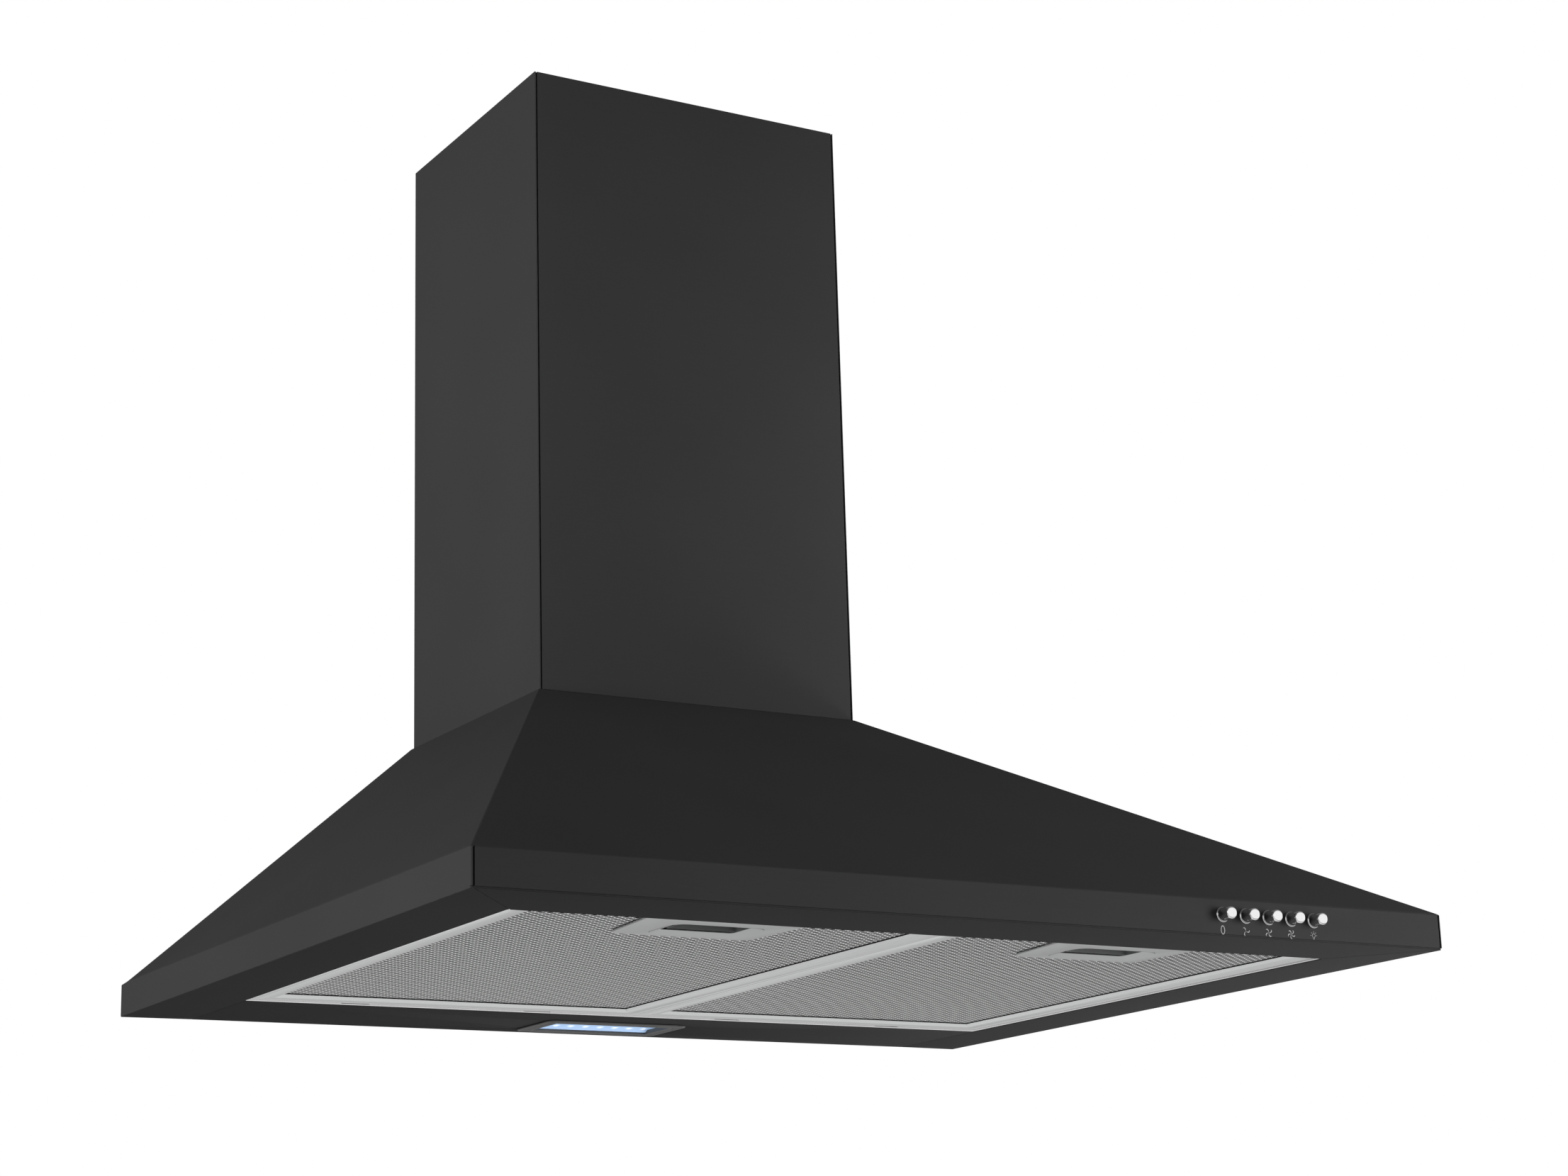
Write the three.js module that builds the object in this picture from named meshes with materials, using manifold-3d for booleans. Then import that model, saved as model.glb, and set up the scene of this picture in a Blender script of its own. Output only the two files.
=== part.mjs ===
// Wall-mounted chimney range hood, 600 mm wide, in millimetres.
//
// Frame: +Z up, -Y towards the cook, y = 0 is the wall, x = 0 the middle of the hood.
// The origin lies on the wall face, on the line of the two keyholes that the hood hangs from.
// Every piece is drawn with z measured up from the rim's bottom edge, inside one group that
// is lowered by HANG_HEIGHT.

import * as THREE from 'three';
import { mergeVertices } from 'three/addons/utils/BufferGeometryUtils.js';
import { ConvexGeometry } from 'three/addons/geometries/ConvexGeometry.js';
import Module from 'manifold-3d';

const wasm = await Module();
wasm.setup();

// ---------------------------------------------------------------- driving dimensions
const HANG_HEIGHT = 140; // keyhole seats above the rim's bottom edge
const GAP = 0.3; // air between touching pieces
const SHEET = 1; // painted steel sheet
const THIN = 0.8; // chimney covers

// canopy
const HALF_WIDTH = 300;
const DEPTH = 500;
const RIM_HEIGHT = 20;
const CANOPY_TOP = 180;
const TOP_HALF = 110.8;
const TOP_DEPTH = 187.8;
const SLOPE_BACK = 10.8; // the slope starts this far in front of the wall
const OPENING_HALF = 256.5; // filter opening in the canopy's underside
const OPENING_FRONT = -448;
const OPENING_BACK = -90; // front edge of the lamp panel
const TOP_LEDGE = 8.8; // ledge the chimney stands on
const BACK_SHEET = 1.2;
const KEYHOLE_X = 80;
const KEYHOLE_SEAT_R = 3.3;
const KEYHOLE_ENTRY_R = 6.5;
const KEYHOLE_DROP = 13;
const WALL_HOLE_X = 220; // lower fixing holes
const WALL_HOLE_Z = 32;
const WALL_HOLE_R = 2.8;

// chimney
const CHIMNEY_HALF = 110;
const CHIMNEY_DEPTH = 186;
const CHIMNEY_HEIGHT = 400;
const CHIMNEY_BACK = -1;
const COVER_CLEARANCE = 0.6;
const RETURN_FLANGE = 12;
const UPPER_BOTTOM = 200;
const UPPER_TOP = 576;
const VENT_COUNT = 6;
const VENT_PITCH = 12;
const VENT_HEIGHT = 3;
const TAB_X = 100.2; // tabs that locate the chimney, from the middle
const TAB_RISE = 16;
const BRACKET_HALF = 95.5; // wall strap of the upper cover
const BRACKET_HEIGHT = 20;
const STRAP = 1.2;

// filters
const FILTER_WIDTH = 253.1;
const FILTER_FRONT = -445.9;
const FILTER_BACK = -93.1;
const FILTER_BOTTOM = 1;
const FILTER_TOP = 9;
const FRAME_FLAT = 12; // width of the frame's flat face
const FRAME_WALL = 0.8;
const FRAME_LIP = 2.9; // top of the upstand round the opening
const NET_BOTTOM = 3.2;
const NET_TOP = 4.3;
const NET_COLUMNS = 7;
const NET_ROWS = 8;
const PACK_BOTTOM = 4.6;
const PACK_TOP = 7.8;
const TONGUE_X = 60;
const TONGUE_WIDTH = 16;

// latch
const LATCH_BACK = -385;
const LATCH_HALF = 42;
const LATCH_FLARE = 5; // the plate widens this much towards the front
const CUP_HALF = 28;
const CUP_FRONT = -420;
const CUP_BACK = -402;
const LATCH_TRAVEL = 6;
const BOLT_HALF = 8;
const BOLT_TIP = -450.5;

// push buttons
const BUTTON_X = 144.2;
const BUTTON_PITCH = 15.75;
const BUTTON_Z = 11.7;
const BUTTON_OUT = 8;
const BUTTON_BASE_R = 3.7;
const BUTTON_FACE_R = 3.4;
const COLLAR_R = 4.6;
const COLLAR_BORE = 3.95;
const BUTTON_HOLE_R = 4.6;
const BUTTON_COUNT = 5;
const STEM_R = 1.5;
const STEM_END = -DEPTH + 29.5;
const HOUSING_FRONT = -489.8;
const HOUSING_BACK = -462;
const HOUSING_STEP = -472.3; // floor of the spring's pocket

// lamp
const LAMP_X = 4;
const LAMP_Y = -40;
const LAMP_LENGTH = 98;
const LAMP_WIDTH = 52;
const LENS_LENGTH = 88;
const LENS_WIDTH = 34;
const LED_COUNT = 8; // in each of two rows
const LED_PITCH = 10.5;
const LED_ROW = 11;
const LED_HALF = 1.7;
const TRAY_HALF = 52;
const TRAY_DEPTH_HALF = 25;
const TRAY_TOP = 16;

// blower
const WHEEL_Y = -92;
const WHEEL_Z = 98;
const WHEEL_R = 55;
const WHEEL_HALF = 45;
const BLADES = 16;
const SCROLL_HALF = 54;
const SCROLL_WALL = 2;
const SCROLL_START_R = 60;
const SCROLL_END_R = 77;
const INLET_R = 47;
const MOTOR_R = 36;
const SHAFT_R = 4;
const BLOWER_TOP = CANOPY_TOP - 5.3;
const BLOWER_FLANGE = 2.5;
const SCREW_X = 78;
const SCREW_FRONT = -165;
const SCREW_BACK = -50;
const SCREW_HOLE_R = 2.3;

// outlet
const SPIGOT_R = 75; // fits 150 mm duct
const SPIGOT_Y = -93;
const SPIGOT_TOP = 222;
const FLAP_Z = 206;
const PIN_BORE_R = 1.5;

// electrics
const TERMINAL_X = 160;
const TERMINAL_Z = 45;
const TERMINAL_HALF = 40;
const TERMINAL_DEPTH = 40;
const TERMINAL_HEIGHT = 45;
const BOX_WALL = 2;
const CAPACITOR_R = 15;
const CAPACITOR_LENGTH = 50;
const CAPACITOR_AT = [-170, -18, 60];
const GLAND_X = -88;
const GLAND_Y = -22;
const LEAD_R = 2.2;

// ---------------------------------------------------------------- solids and helpers
const steel = { color: 0x2b2b2b, roughness: 0.45, metalness: 0.3 };
const aluminium = { color: 0xb4b4b2, roughness: 0.4, metalness: 0.9 };
const zinc = { color: 0x9a9c9d, roughness: 0.5, metalness: 0.8 };
const chrome = { color: 0xd8d8d8, roughness: 0.12, metalness: 1 };
const plastic = { color: 0x202124, roughness: 0.6, metalness: 0 };
const whitePlastic = { color: 0xe6e6e2, roughness: 0.5, metalness: 0 };
const clearPlastic = { color: 0xb9d2ee, roughness: 0.2, metalness: 0 };
const board = { color: 0xe9ecee, roughness: 0.5, metalness: 0 };

// A manifold solid from a closed three.js geometry, turned right side out.
function solid(geometry) {
  const bare = geometry.clone();
  bare.deleteAttribute('normal');
  bare.deleteAttribute('uv');
  const merged = mergeVertices(bare, 1e-4);
  const points = merged.attributes.position.array;
  const corners = new Uint32Array(merged.index.array);
  let volume = 0;
  const [a, b, c] = [new THREE.Vector3(), new THREE.Vector3(), new THREE.Vector3()];
  for (let i = 0; i < corners.length; i += 3) {
    a.fromArray(points, 3 * corners[i]);
    b.fromArray(points, 3 * corners[i + 1]);
    c.fromArray(points, 3 * corners[i + 2]);
    volume += a.dot(b.cross(c));
  }
  if (volume < 0) {
    for (let i = 0; i < corners.length; i += 3) {
      [corners[i], corners[i + 1]] = [corners[i + 1], corners[i]];
    }
  }
  return new wasm.Manifold(
    new wasm.Mesh({ numProp: 3, vertProperties: new Float32Array(points), triVerts: corners }),
  );
}

function box(x0, x1, y0, y1, z0, z1) {
  const geometry = new THREE.BoxGeometry(x1 - x0, y1 - y0, z1 - z0);
  geometry.translate((x0 + x1) / 2, (y0 + y1) / 2, (z0 + z1) / 2);
  return solid(geometry);
}

// A flat outline, extruded up from z0 to z1.
function prism(outline, z0, z1) {
  const geometry = new THREE.ExtrudeGeometry(outline, {
    depth: z1 - z0, bevelEnabled: false, curveSegments: 4,
  });
  geometry.translate(0, 0, z0);
  return solid(geometry);
}

// An outline in x and z, extruded from the wall side (yBack) towards the front.
function wallPrism(outline, yBack, depth) {
  const geometry = new THREE.ExtrudeGeometry(outline, { depth, bevelEnabled: false });
  const basis = new THREE.Matrix4().makeBasis(
    new THREE.Vector3(1, 0, 0), new THREE.Vector3(0, 0, 1), new THREE.Vector3(0, -1, 0),
  );
  geometry.applyMatrix4(basis);
  geometry.translate(0, yBack, 0);
  return solid(geometry);
}

// An outline in y and z, extruded sideways from x0 to x1.
function sidePrism(outline, x0, x1) {
  const geometry = new THREE.ExtrudeGeometry(outline, {
    depth: x1 - x0, bevelEnabled: false, curveSegments: 6,
  });
  const basis = new THREE.Matrix4().makeBasis(
    new THREE.Vector3(0, 1, 0), new THREE.Vector3(0, 0, 1), new THREE.Vector3(1, 0, 0),
  );
  geometry.applyMatrix4(basis);
  geometry.translate(x0, 0, 0);
  return solid(geometry);
}

// A closed [radius, height] profile turned about an axis through the origin.
function turned(profile, axis, segments = 20) {
  const points = profile.map(([r, h]) => new THREE.Vector2(r, h));
  if (profile[0][0] > 0 || profile.at(-1)[0] > 0) points.push(points[0].clone());
  const geometry = new THREE.LatheGeometry(points, segments);
  if (axis === 'z') geometry.rotateX(Math.PI / 2);
  if (axis === 'x') geometry.rotateZ(-Math.PI / 2);
  return solid(geometry);
}

function rod(axis, radius, from, to, segments = 20) {
  return turned([[0, from], [radius, from], [radius, to], [0, to]], axis, segments);
}

function outlineOf(points) {
  return new THREE.Shape(points.map(([u, v]) => new THREE.Vector2(u, v)));
}

function roundedRect(halfX, halfY, radius) {
  const outline = new THREE.Shape();
  outline.moveTo(-halfX + radius, -halfY);
  outline.lineTo(halfX - radius, -halfY);
  outline.absarc(halfX - radius, -halfY + radius, radius, -Math.PI / 2, 0);
  outline.absarc(halfX - radius, halfY - radius, radius, 0, Math.PI / 2);
  outline.absarc(-halfX + radius, halfY - radius, radius, Math.PI / 2, Math.PI);
  outline.absarc(-halfX + radius, -halfY + radius, radius, Math.PI, 1.5 * Math.PI);
  return outline;
}

function join(first, ...others) {
  return others.reduce((whole, piece) => whole.add(piece), first);
}

function cut(first, ...others) {
  return others.reduce((whole, piece) => whole.subtract(piece), first);
}

// The named mesh of a finished solid.
function piece(name, body, finish) {
  const { vertProperties, triVerts } = body.getMesh();
  const geometry = new THREE.BufferGeometry();
  geometry.setAttribute('position', new THREE.BufferAttribute(vertProperties, 3));
  geometry.setIndex(new THREE.BufferAttribute(triVerts, 1));
  geometry.computeVertexNormals();
  const mesh = new THREE.Mesh(geometry, new THREE.MeshStandardMaterial(finish));
  mesh.name = name;
  return mesh;
}

// Round wire swept along a curve.
function wire(curve, radius, steps, sides) {
  const section = new THREE.Shape();
  for (let i = 0; i < sides; i++) {
    const angle = (2 * Math.PI * i) / sides;
    const [u, v] = [radius * Math.cos(angle), radius * Math.sin(angle)];
    if (i === 0) section.moveTo(u, v);
    else section.lineTo(u, v);
  }
  return solid(new THREE.ExtrudeGeometry(section, { steps, extrudePath: curve, bevelEnabled: false }));
}

// A helix along y, from yStart to yEnd.
class CoilCurve extends THREE.Curve {
  constructor(radius, yStart, yEnd, turns) {
    super();
    Object.assign(this, { radius, yStart, yEnd, turns });
  }

  getPoint(t, target = new THREE.Vector3()) {
    const angle = 2 * Math.PI * this.turns * t;
    const y = THREE.MathUtils.lerp(this.yStart, this.yEnd, t);
    return target.set(this.radius * Math.cos(angle), y, this.radius * Math.sin(angle));
  }
}

function coilSpring(radius, wireR, yStart, yEnd, turns) {
  const curve = new CoilCurve(radius, yStart + wireR, yEnd - wireR, turns);
  return wire(curve, wireR, turns * 8, 3);
}

// ---------------------------------------------------------------- canopy
// The pyramid between the rim and the chimney, moved in by the sheet thickness t.
function pyramid(t, zLow, zHigh, backOverrun) {
  const rise = CANOPY_TOP - RIM_HEIGHT;
  const runX = HALF_WIDTH - TOP_HALF;
  const runY = DEPTH - TOP_DEPTH;
  const insetX = (t * Math.hypot(rise, runX)) / rise;
  const insetY = (t * Math.hypot(rise, runY)) / rise;
  const points = [];
  for (const z of [zLow, zHigh]) {
    const up = (z - RIM_HEIGHT) / rise;
    const halfX = HALF_WIDTH - runX * up - insetX;
    const front = -DEPTH + runY * up + insetY;
    const back = -SLOPE_BACK * (1 - up) + backOverrun;
    for (const x of [-halfX, halfX]) {
      points.push(new THREE.Vector3(x, front, z), new THREE.Vector3(x, back, z));
    }
  }
  return solid(new ConvexGeometry(points));
}

function buttonHoles(radius) {
  const holes = [];
  for (let i = 0; i < BUTTON_COUNT; i++) {
    const hole = rod('y', radius, -DEPTH - 2, -DEPTH + 3, 16);
    holes.push(hole.translate([BUTTON_X + i * BUTTON_PITCH, 0, BUTTON_Z]));
  }
  return holes;
}

function canopyShell() {
  const outer = join(
    box(-HALF_WIDTH, HALF_WIDTH, -DEPTH, 0, 0, RIM_HEIGHT),
    pyramid(0, RIM_HEIGHT, CANOPY_TOP, 0),
  );
  const inside = HALF_WIDTH - SHEET;
  const ledgeHalf = TOP_HALF - TOP_LEDGE;
  const within = box(-inside, inside, -DEPTH + SHEET, 10, SHEET, CANOPY_TOP);
  const hollow = join(
    pyramid(SHEET, RIM_HEIGHT - 2, CANOPY_TOP - SHEET, 25).intersect(within),
    box(-inside, inside, -DEPTH + SHEET, 10, SHEET, RIM_HEIGHT - 1),
  );
  return cut(
    outer,
    hollow,
    box(-OPENING_HALF, OPENING_HALF, OPENING_FRONT, 5, -1, 2),
    box(-ledgeHalf, ledgeHalf, -TOP_DEPTH + TOP_LEDGE, 5, CANOPY_TOP - 3, CANOPY_TOP + 1),
    ...buttonHoles(BUTTON_HOLE_R),
  );
}

function backPlate() {
  const inset = 1.9;
  const low = HALF_WIDTH - SHEET - GAP;
  const topZ = CANOPY_TOP - SHEET - GAP;
  const topHalf = TOP_HALF - inset;
  const outline = outlineOf([
    [-low, SHEET + GAP], [low, SHEET + GAP], [low, RIM_HEIGHT - 2], [topHalf, topZ],
    [-topHalf, topZ], [-low, RIM_HEIGHT - 2],
  ]);
  let plate = wallPrism(outline, 0, BACK_SHEET);
  for (const x of [-KEYHOLE_X, KEYHOLE_X]) {
    const seat = rod('y', KEYHOLE_SEAT_R, -5, 5).translate([x, 0, HANG_HEIGHT]);
    const entry = rod('y', KEYHOLE_ENTRY_R, -5, 5).translate([x, 0, HANG_HEIGHT - KEYHOLE_DROP]);
    const slot = box(
      x - KEYHOLE_SEAT_R, x + KEYHOLE_SEAT_R, -5, 5, HANG_HEIGHT - KEYHOLE_DROP, HANG_HEIGHT,
    );
    plate = cut(plate, seat, entry, slot);
  }
  for (const x of [-WALL_HOLE_X, WALL_HOLE_X]) {
    plate = cut(plate, rod('y', WALL_HOLE_R, -5, 5, 12).translate([x, 0, WALL_HOLE_Z]));
  }
  return plate;
}

// The strip behind the filters that carries the lamp.
function lampPanel() {
  const half = OPENING_HALF - GAP;
  const back = -BACK_SHEET - GAP;
  const opening = roundedRect(LENS_LENGTH / 2 + 2, LENS_WIDTH / 2 + 2, 3);
  return cut(
    join(
      box(-half, half, OPENING_BACK, back, 0, SHEET),
      box(-half, half, back - SHEET, back, 0, 12),
    ),
    prism(opening, -2, 5).translate([LAMP_X, LAMP_Y, 0]),
  );
}

// Zinc-plated frame round the opening: a leg at its edge, a foot on the flange, and a stop
// ledge and a middle bar above the filters.
function filterSupportFrame() {
  const outerX = OPENING_HALF - GAP;
  const front = OPENING_FRONT + GAP;
  const back = OPENING_BACK - GAP;
  const leg = 1.5;
  const footZ = SHEET + GAP;
  const ledgeZ = FILTER_TOP + 0.6;
  const ring = (inset, z0, z1) => box(
    -outerX + inset, outerX - inset, front + inset, back - inset, z0, z1,
  );
  let frame = cut(ring(0, 0.3, ledgeZ + 1), ring(leg, 0, ledgeZ + 2));
  const foot = box(-outerX - 6, outerX + 6, front - 6, back, footZ, footZ + 1);
  frame = join(frame, cut(foot, ring(leg / 2, 0, 5)));
  frame = join(frame, cut(ring(leg / 2, ledgeZ, ledgeZ + 1), ring(8, 5, 15)));
  frame = join(frame, box(-9, 9, front + leg / 2, back - leg / 2, ledgeZ, ledgeZ + 1));
  for (const side of [-1, 1]) {
    const middle = (side * (FILTER_WIDTH + 2 * GAP)) / 2;
    for (const x of [middle - TONGUE_X, middle + TONGUE_X]) {
      const half = TONGUE_WIDTH / 2 + 1;
      frame = cut(frame, box(x - half, x + half, back - 4, back + 2, 1.7, ledgeZ - 0.4));
    }
    const half = BOLT_HALF + 1;
    frame = cut(frame, box(middle - half, middle + half, front - 1, front + 3, 4, ledgeZ - 0.4));
  }
  return frame;
}

// Carries the blower under it and the spigot on it, and has the tabs that locate the chimney.
function canopyTopPlate() {
  const z = CANOPY_TOP - SHEET - GAP - BACK_SHEET;
  const half = TOP_HALF - 1.8;
  const plateFront = -TOP_DEPTH + 1.3;
  let plate = box(-half, half, plateFront, -BACK_SHEET - 0.4, z, z + BACK_SHEET);
  plate = cut(plate, rod('z', 70, z - 2, z + 4, 48).translate([0, SPIGOT_Y, 0]));
  for (const side of [-1, 1]) {
    const x0 = Math.min(side * TAB_X, side * (TAB_X + STRAP));
    for (const front of [-150, -60]) {
      plate = join(plate, box(x0, x0 + STRAP, front, front + 20, z, CANOPY_TOP + TAB_RISE));
    }
    for (const y of [SCREW_FRONT, SCREW_BACK]) {
      const hole = rod('z', SCREW_HOLE_R, z - 2, z + 4, 12);
      plate = cut(plate, hole.translate([side * SCREW_X, y, 0]));
    }
  }
  return cut(plate, rod('z', 8.4, z - 2, z + 4).translate([GLAND_X, GLAND_Y, 0]));
}

// ---------------------------------------------------------------- chimney
// A three-sided cover with return flanges at the wall, open at the top and the bottom.
function chimneyCover(halfX, front, back, z0, z1) {
  const inner = halfX - THIN;
  return cut(
    box(-halfX, halfX, front, back, z0, z1),
    box(-inner, inner, front + THIN, back - THIN, z0 - 1, z1 + 1),
    box(-halfX + RETURN_FLANGE, halfX - RETURN_FLANGE, back - 5, back + 5, z0 - 1, z1 + 1),
  );
}

function lowerChimneyCover() {
  const z0 = CANOPY_TOP + GAP;
  const front = CHIMNEY_BACK - CHIMNEY_DEPTH;
  return chimneyCover(CHIMNEY_HALF, front, CHIMNEY_BACK, z0, CANOPY_TOP + CHIMNEY_HEIGHT);
}

function upperChimneyCover() {
  const shrink = THIN + COVER_CLEARANCE;
  const front = CHIMNEY_BACK - CHIMNEY_DEPTH + shrink;
  const half = CHIMNEY_HALF - shrink;
  let cover = chimneyCover(half, front, CHIMNEY_BACK - shrink, UPPER_BOTTOM, UPPER_TOP);
  for (let i = 0; i < VENT_COUNT; i++) {
    const z = UPPER_TOP - 25 - i * VENT_PITCH;
    cover = cut(cover, box(-half - 1, half + 1, -140, -60, z - VENT_HEIGHT, z));
  }
  return cover;
}

// Strap that is screwed to the wall and holds the upper cover's sides.
function upperWallBracket() {
  const half = BRACKET_HALF;
  const z1 = UPPER_TOP - 4;
  const z0 = z1 - BRACKET_HEIGHT;
  const side = CHIMNEY_HALF - 2 * THIN - COVER_CLEARANCE - 0.4;
  let strap = box(-half, half, -GAP - STRAP, -GAP, z0, z1);
  for (const s of [-1, 1]) {
    const span = (a, b) => [Math.min(s * a, s * b), Math.max(s * a, s * b)];
    const [a0, a1] = span(half - STRAP, half);
    const [b0, b1] = span(half - STRAP, side);
    const [c0, c1] = span(side - STRAP, side);
    strap = join(
      strap,
      box(a0, a1, -4 - STRAP, -GAP, z0, z1),
      box(b0, b1, -4 - STRAP, -4, z0, z1),
      box(c0, c1, -30, -4, z0, z1),
    );
    const screwHole = rod('y', WALL_HOLE_R, -3, 2, 12);
    strap = cut(strap, screwHole.translate([s * 60, 0, (z0 + z1) / 2]));
  }
  return strap;
}

// ---------------------------------------------------------------- filters
// Everything here is drawn about the filter's own middle line, x = 0.
function filterFrame() {
  const half = FILTER_WIDTH / 2;
  const block = (inset, z0, z1) => box(
    -half + inset, half - inset, FILTER_FRONT + inset, FILTER_BACK - inset, z0, z1,
  );
  const flat = FILTER_BOTTOM + FRAME_WALL;
  let frame = cut(
    block(0, FILTER_BOTTOM, FILTER_TOP),
    block(FRAME_WALL, flat, FILTER_TOP - FRAME_WALL),
    block(FRAME_FLAT, 0, 12),
  );
  const lip = cut(block(FRAME_FLAT - FRAME_WALL, FILTER_BOTTOM, FRAME_LIP), block(FRAME_FLAT, 0, 12));
  frame = join(frame, lip);
  for (const x of [-TONGUE_X, TONGUE_X]) {
    const w = TONGUE_WIDTH / 2;
    frame = join(frame, box(x - w, x + w, FILTER_BACK - 0.5, -86.5, 2, 3));
  }
  const slot = BOLT_HALF + 0.6;
  return cut(frame, box(-slot, slot, FILTER_FRONT - 1, FILTER_FRONT + 3, 4.7, 7.3));
}

function latchWindow(z0, z1) {
  return box(-36, 36, FILTER_FRONT - 1, CUP_BACK + LATCH_TRAVEL + 4, z0, z1);
}

function filterNet() {
  const half = FILTER_WIDTH / 2 - FRAME_WALL - GAP;
  const front = FILTER_FRONT + FRAME_WALL + GAP;
  const back = FILTER_BACK - FRAME_WALL - GAP;
  let net = box(-half, half, front, back, NET_BOTTOM, NET_TOP);
  const pitchX = (FILTER_WIDTH - 2 * FRAME_FLAT) / (NET_COLUMNS + 0.5);
  const pitchY = (LATCH_BACK - back + FRAME_FLAT) / NET_ROWS;
  for (let row = 0; row < NET_ROWS; row++) {
    const y = LATCH_BACK - (row + 0.55) * pitchY;
    for (let column = 0; column < NET_COLUMNS; column++) {
      const stagger = row % 2 ? 0.25 : -0.25;
      const x = (column - (NET_COLUMNS - 1) / 2 + stagger) * pitchX;
      const slot = box(x - 0.4 * pitchX, x + 0.4 * pitchX, y - 12, y + 12, NET_BOTTOM - 1, NET_TOP + 1);
      net = cut(net, slot);
    }
  }
  return cut(net, latchWindow(0, 12));
}

function filterPack() {
  const half = FILTER_WIDTH / 2 - FRAME_WALL - GAP;
  const front = FILTER_FRONT + FRAME_WALL + GAP;
  const back = FILTER_BACK - FRAME_WALL - GAP;
  return cut(box(-half, half, front, back, PACK_BOTTOM, PACK_TOP), latchWindow(0, 12));
}

function latchPlate() {
  const front = FILTER_FRONT + FRAME_FLAT + GAP;
  const wide = LATCH_HALF + LATCH_FLARE;
  const corner = 6;
  const outline = outlineOf([
    [-wide, front], [wide, front], [LATCH_HALF, LATCH_BACK - corner],
    [LATCH_HALF - corner, LATCH_BACK], [-LATCH_HALF + corner, LATCH_BACK],
    [-LATCH_HALF, LATCH_BACK - corner],
  ]);
  const room = CUP_HALF + GAP;
  return cut(
    prism(outline, 1.9, 2.9),
    box(-room, room, CUP_FRONT - GAP, CUP_BACK + LATCH_TRAVEL + GAP, 0, 5),
  );
}

// Finger cup with a sliding flange above the plate and the bolt in front.
function latchSlider() {
  const cup = cut(
    box(-CUP_HALF, CUP_HALF, CUP_FRONT, CUP_BACK, 1.9, 8.4),
    box(-CUP_HALF + 1, CUP_HALF - 1, CUP_FRONT + 1, CUP_BACK - 1, 0, 7.4),
  );
  const flange = cut(
    box(-34, 34, CUP_FRONT - 8, CUP_BACK + 3, 3.2, 4.2),
    box(-CUP_HALF + 0.5, CUP_HALF - 0.5, CUP_FRONT + 0.5, CUP_BACK - 0.5, 0, 6),
  );
  const bolt = box(-BOLT_HALF, BOLT_HALF, BOLT_TIP, CUP_FRONT + 0.5, 5, 7);
  return join(cup, flange, bolt);
}

function filterSet(side) {
  const group = new THREE.Group();
  group.add(
    piece(`${side}_filter_frame`, filterFrame(), aluminium),
    piece(`${side}_filter_net`, filterNet(), aluminium),
    piece(`${side}_filter_pack`, filterPack(), zinc),
    piece(`${side}_latch_plate`, latchPlate(), aluminium),
    piece(`${side}_latch_slider`, latchSlider(), aluminium),
  );
  const spring = coilSpring(1.3, 0.3, FILTER_FRONT + FRAME_WALL + GAP, CUP_FRONT - GAP, 7);
  const springMesh = piece(`${side}_latch_spring`, spring, zinc);
  springMesh.position.set(18, 0, 6.2);
  group.add(springMesh);
  group.position.x = ((side === 'left' ? -1 : 1) * (FILTER_WIDTH + 2 * GAP)) / 2;
  return group;
}

// ---------------------------------------------------------------- push buttons
// Each is drawn about its own axis, which runs along y.
function pushButton() {
  const face = -DEPTH - BUTTON_OUT;
  return turned([
    [0, face - 0.35], [BUTTON_FACE_R * 0.6, face - 0.2], [BUTTON_FACE_R - 0.3, face],
    [BUTTON_FACE_R, face + 0.4], [BUTTON_BASE_R, -DEPTH], [BUTTON_BASE_R, -DEPTH + 4.6],
    [COLLAR_R - 0.4, -DEPTH + 4.6], [COLLAR_R - 0.4, -DEPTH + 5.8], [STEM_R, -DEPTH + 5.8],
    [STEM_R, STEM_END], [0, STEM_END],
  ], 'y', 12);
}

function buttonCollar() {
  const sleeve = COLLAR_BORE + 0.35;
  return turned([
    [COLLAR_BORE, -DEPTH - 0.9], [COLLAR_R + 0.3, -DEPTH - 0.8], [COLLAR_R + 0.3, -DEPTH - GAP],
    [sleeve, -DEPTH - GAP], [sleeve, -DEPTH + 4.2], [COLLAR_BORE, -DEPTH + 4.2],
  ], 'y', 14);
}

// Body of the switch: each pocket holds a spring, and the bore behind it the button's stem.
function switchHousing() {
  const last = BUTTON_X + (BUTTON_COUNT - 1) * BUTTON_PITCH;
  let housing = box(BUTTON_X - 10, last + 10, HOUSING_FRONT, HOUSING_BACK, 3.5, 19);
  for (let i = 0; i < BUTTON_COUNT; i++) {
    const at = [BUTTON_X + i * BUTTON_PITCH, 0, BUTTON_Z];
    const pocket = rod('y', 3.3, HOUSING_FRONT - 2, HOUSING_STEP + GAP, 12);
    const bore = rod('y', STEM_R + 0.6, HOUSING_STEP - 0.7, HOUSING_BACK - 2.5, 8);
    housing = cut(housing, pocket.translate(at), bore.translate(at));
  }
  return housing;
}

function controls() {
  const group = new THREE.Group();
  const names = ['off', 'speed_1', 'speed_2', 'speed_3', 'light'];
  names.forEach((name, i) => {
    const set = new THREE.Group();
    set.add(
      piece(`${name}_button`, pushButton(), chrome),
      piece(`${name}_button_collar`, buttonCollar(), chrome),
      piece(`${name}_button_spring`, coilSpring(2.4, 0.35, -DEPTH + 6.1, HOUSING_STEP, 4), zinc),
    );
    set.position.set(BUTTON_X + i * BUTTON_PITCH, 0, BUTTON_Z);
    group.add(set);
  });
  group.add(piece('switch_housing', switchHousing(), plastic));
  return group;
}

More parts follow.
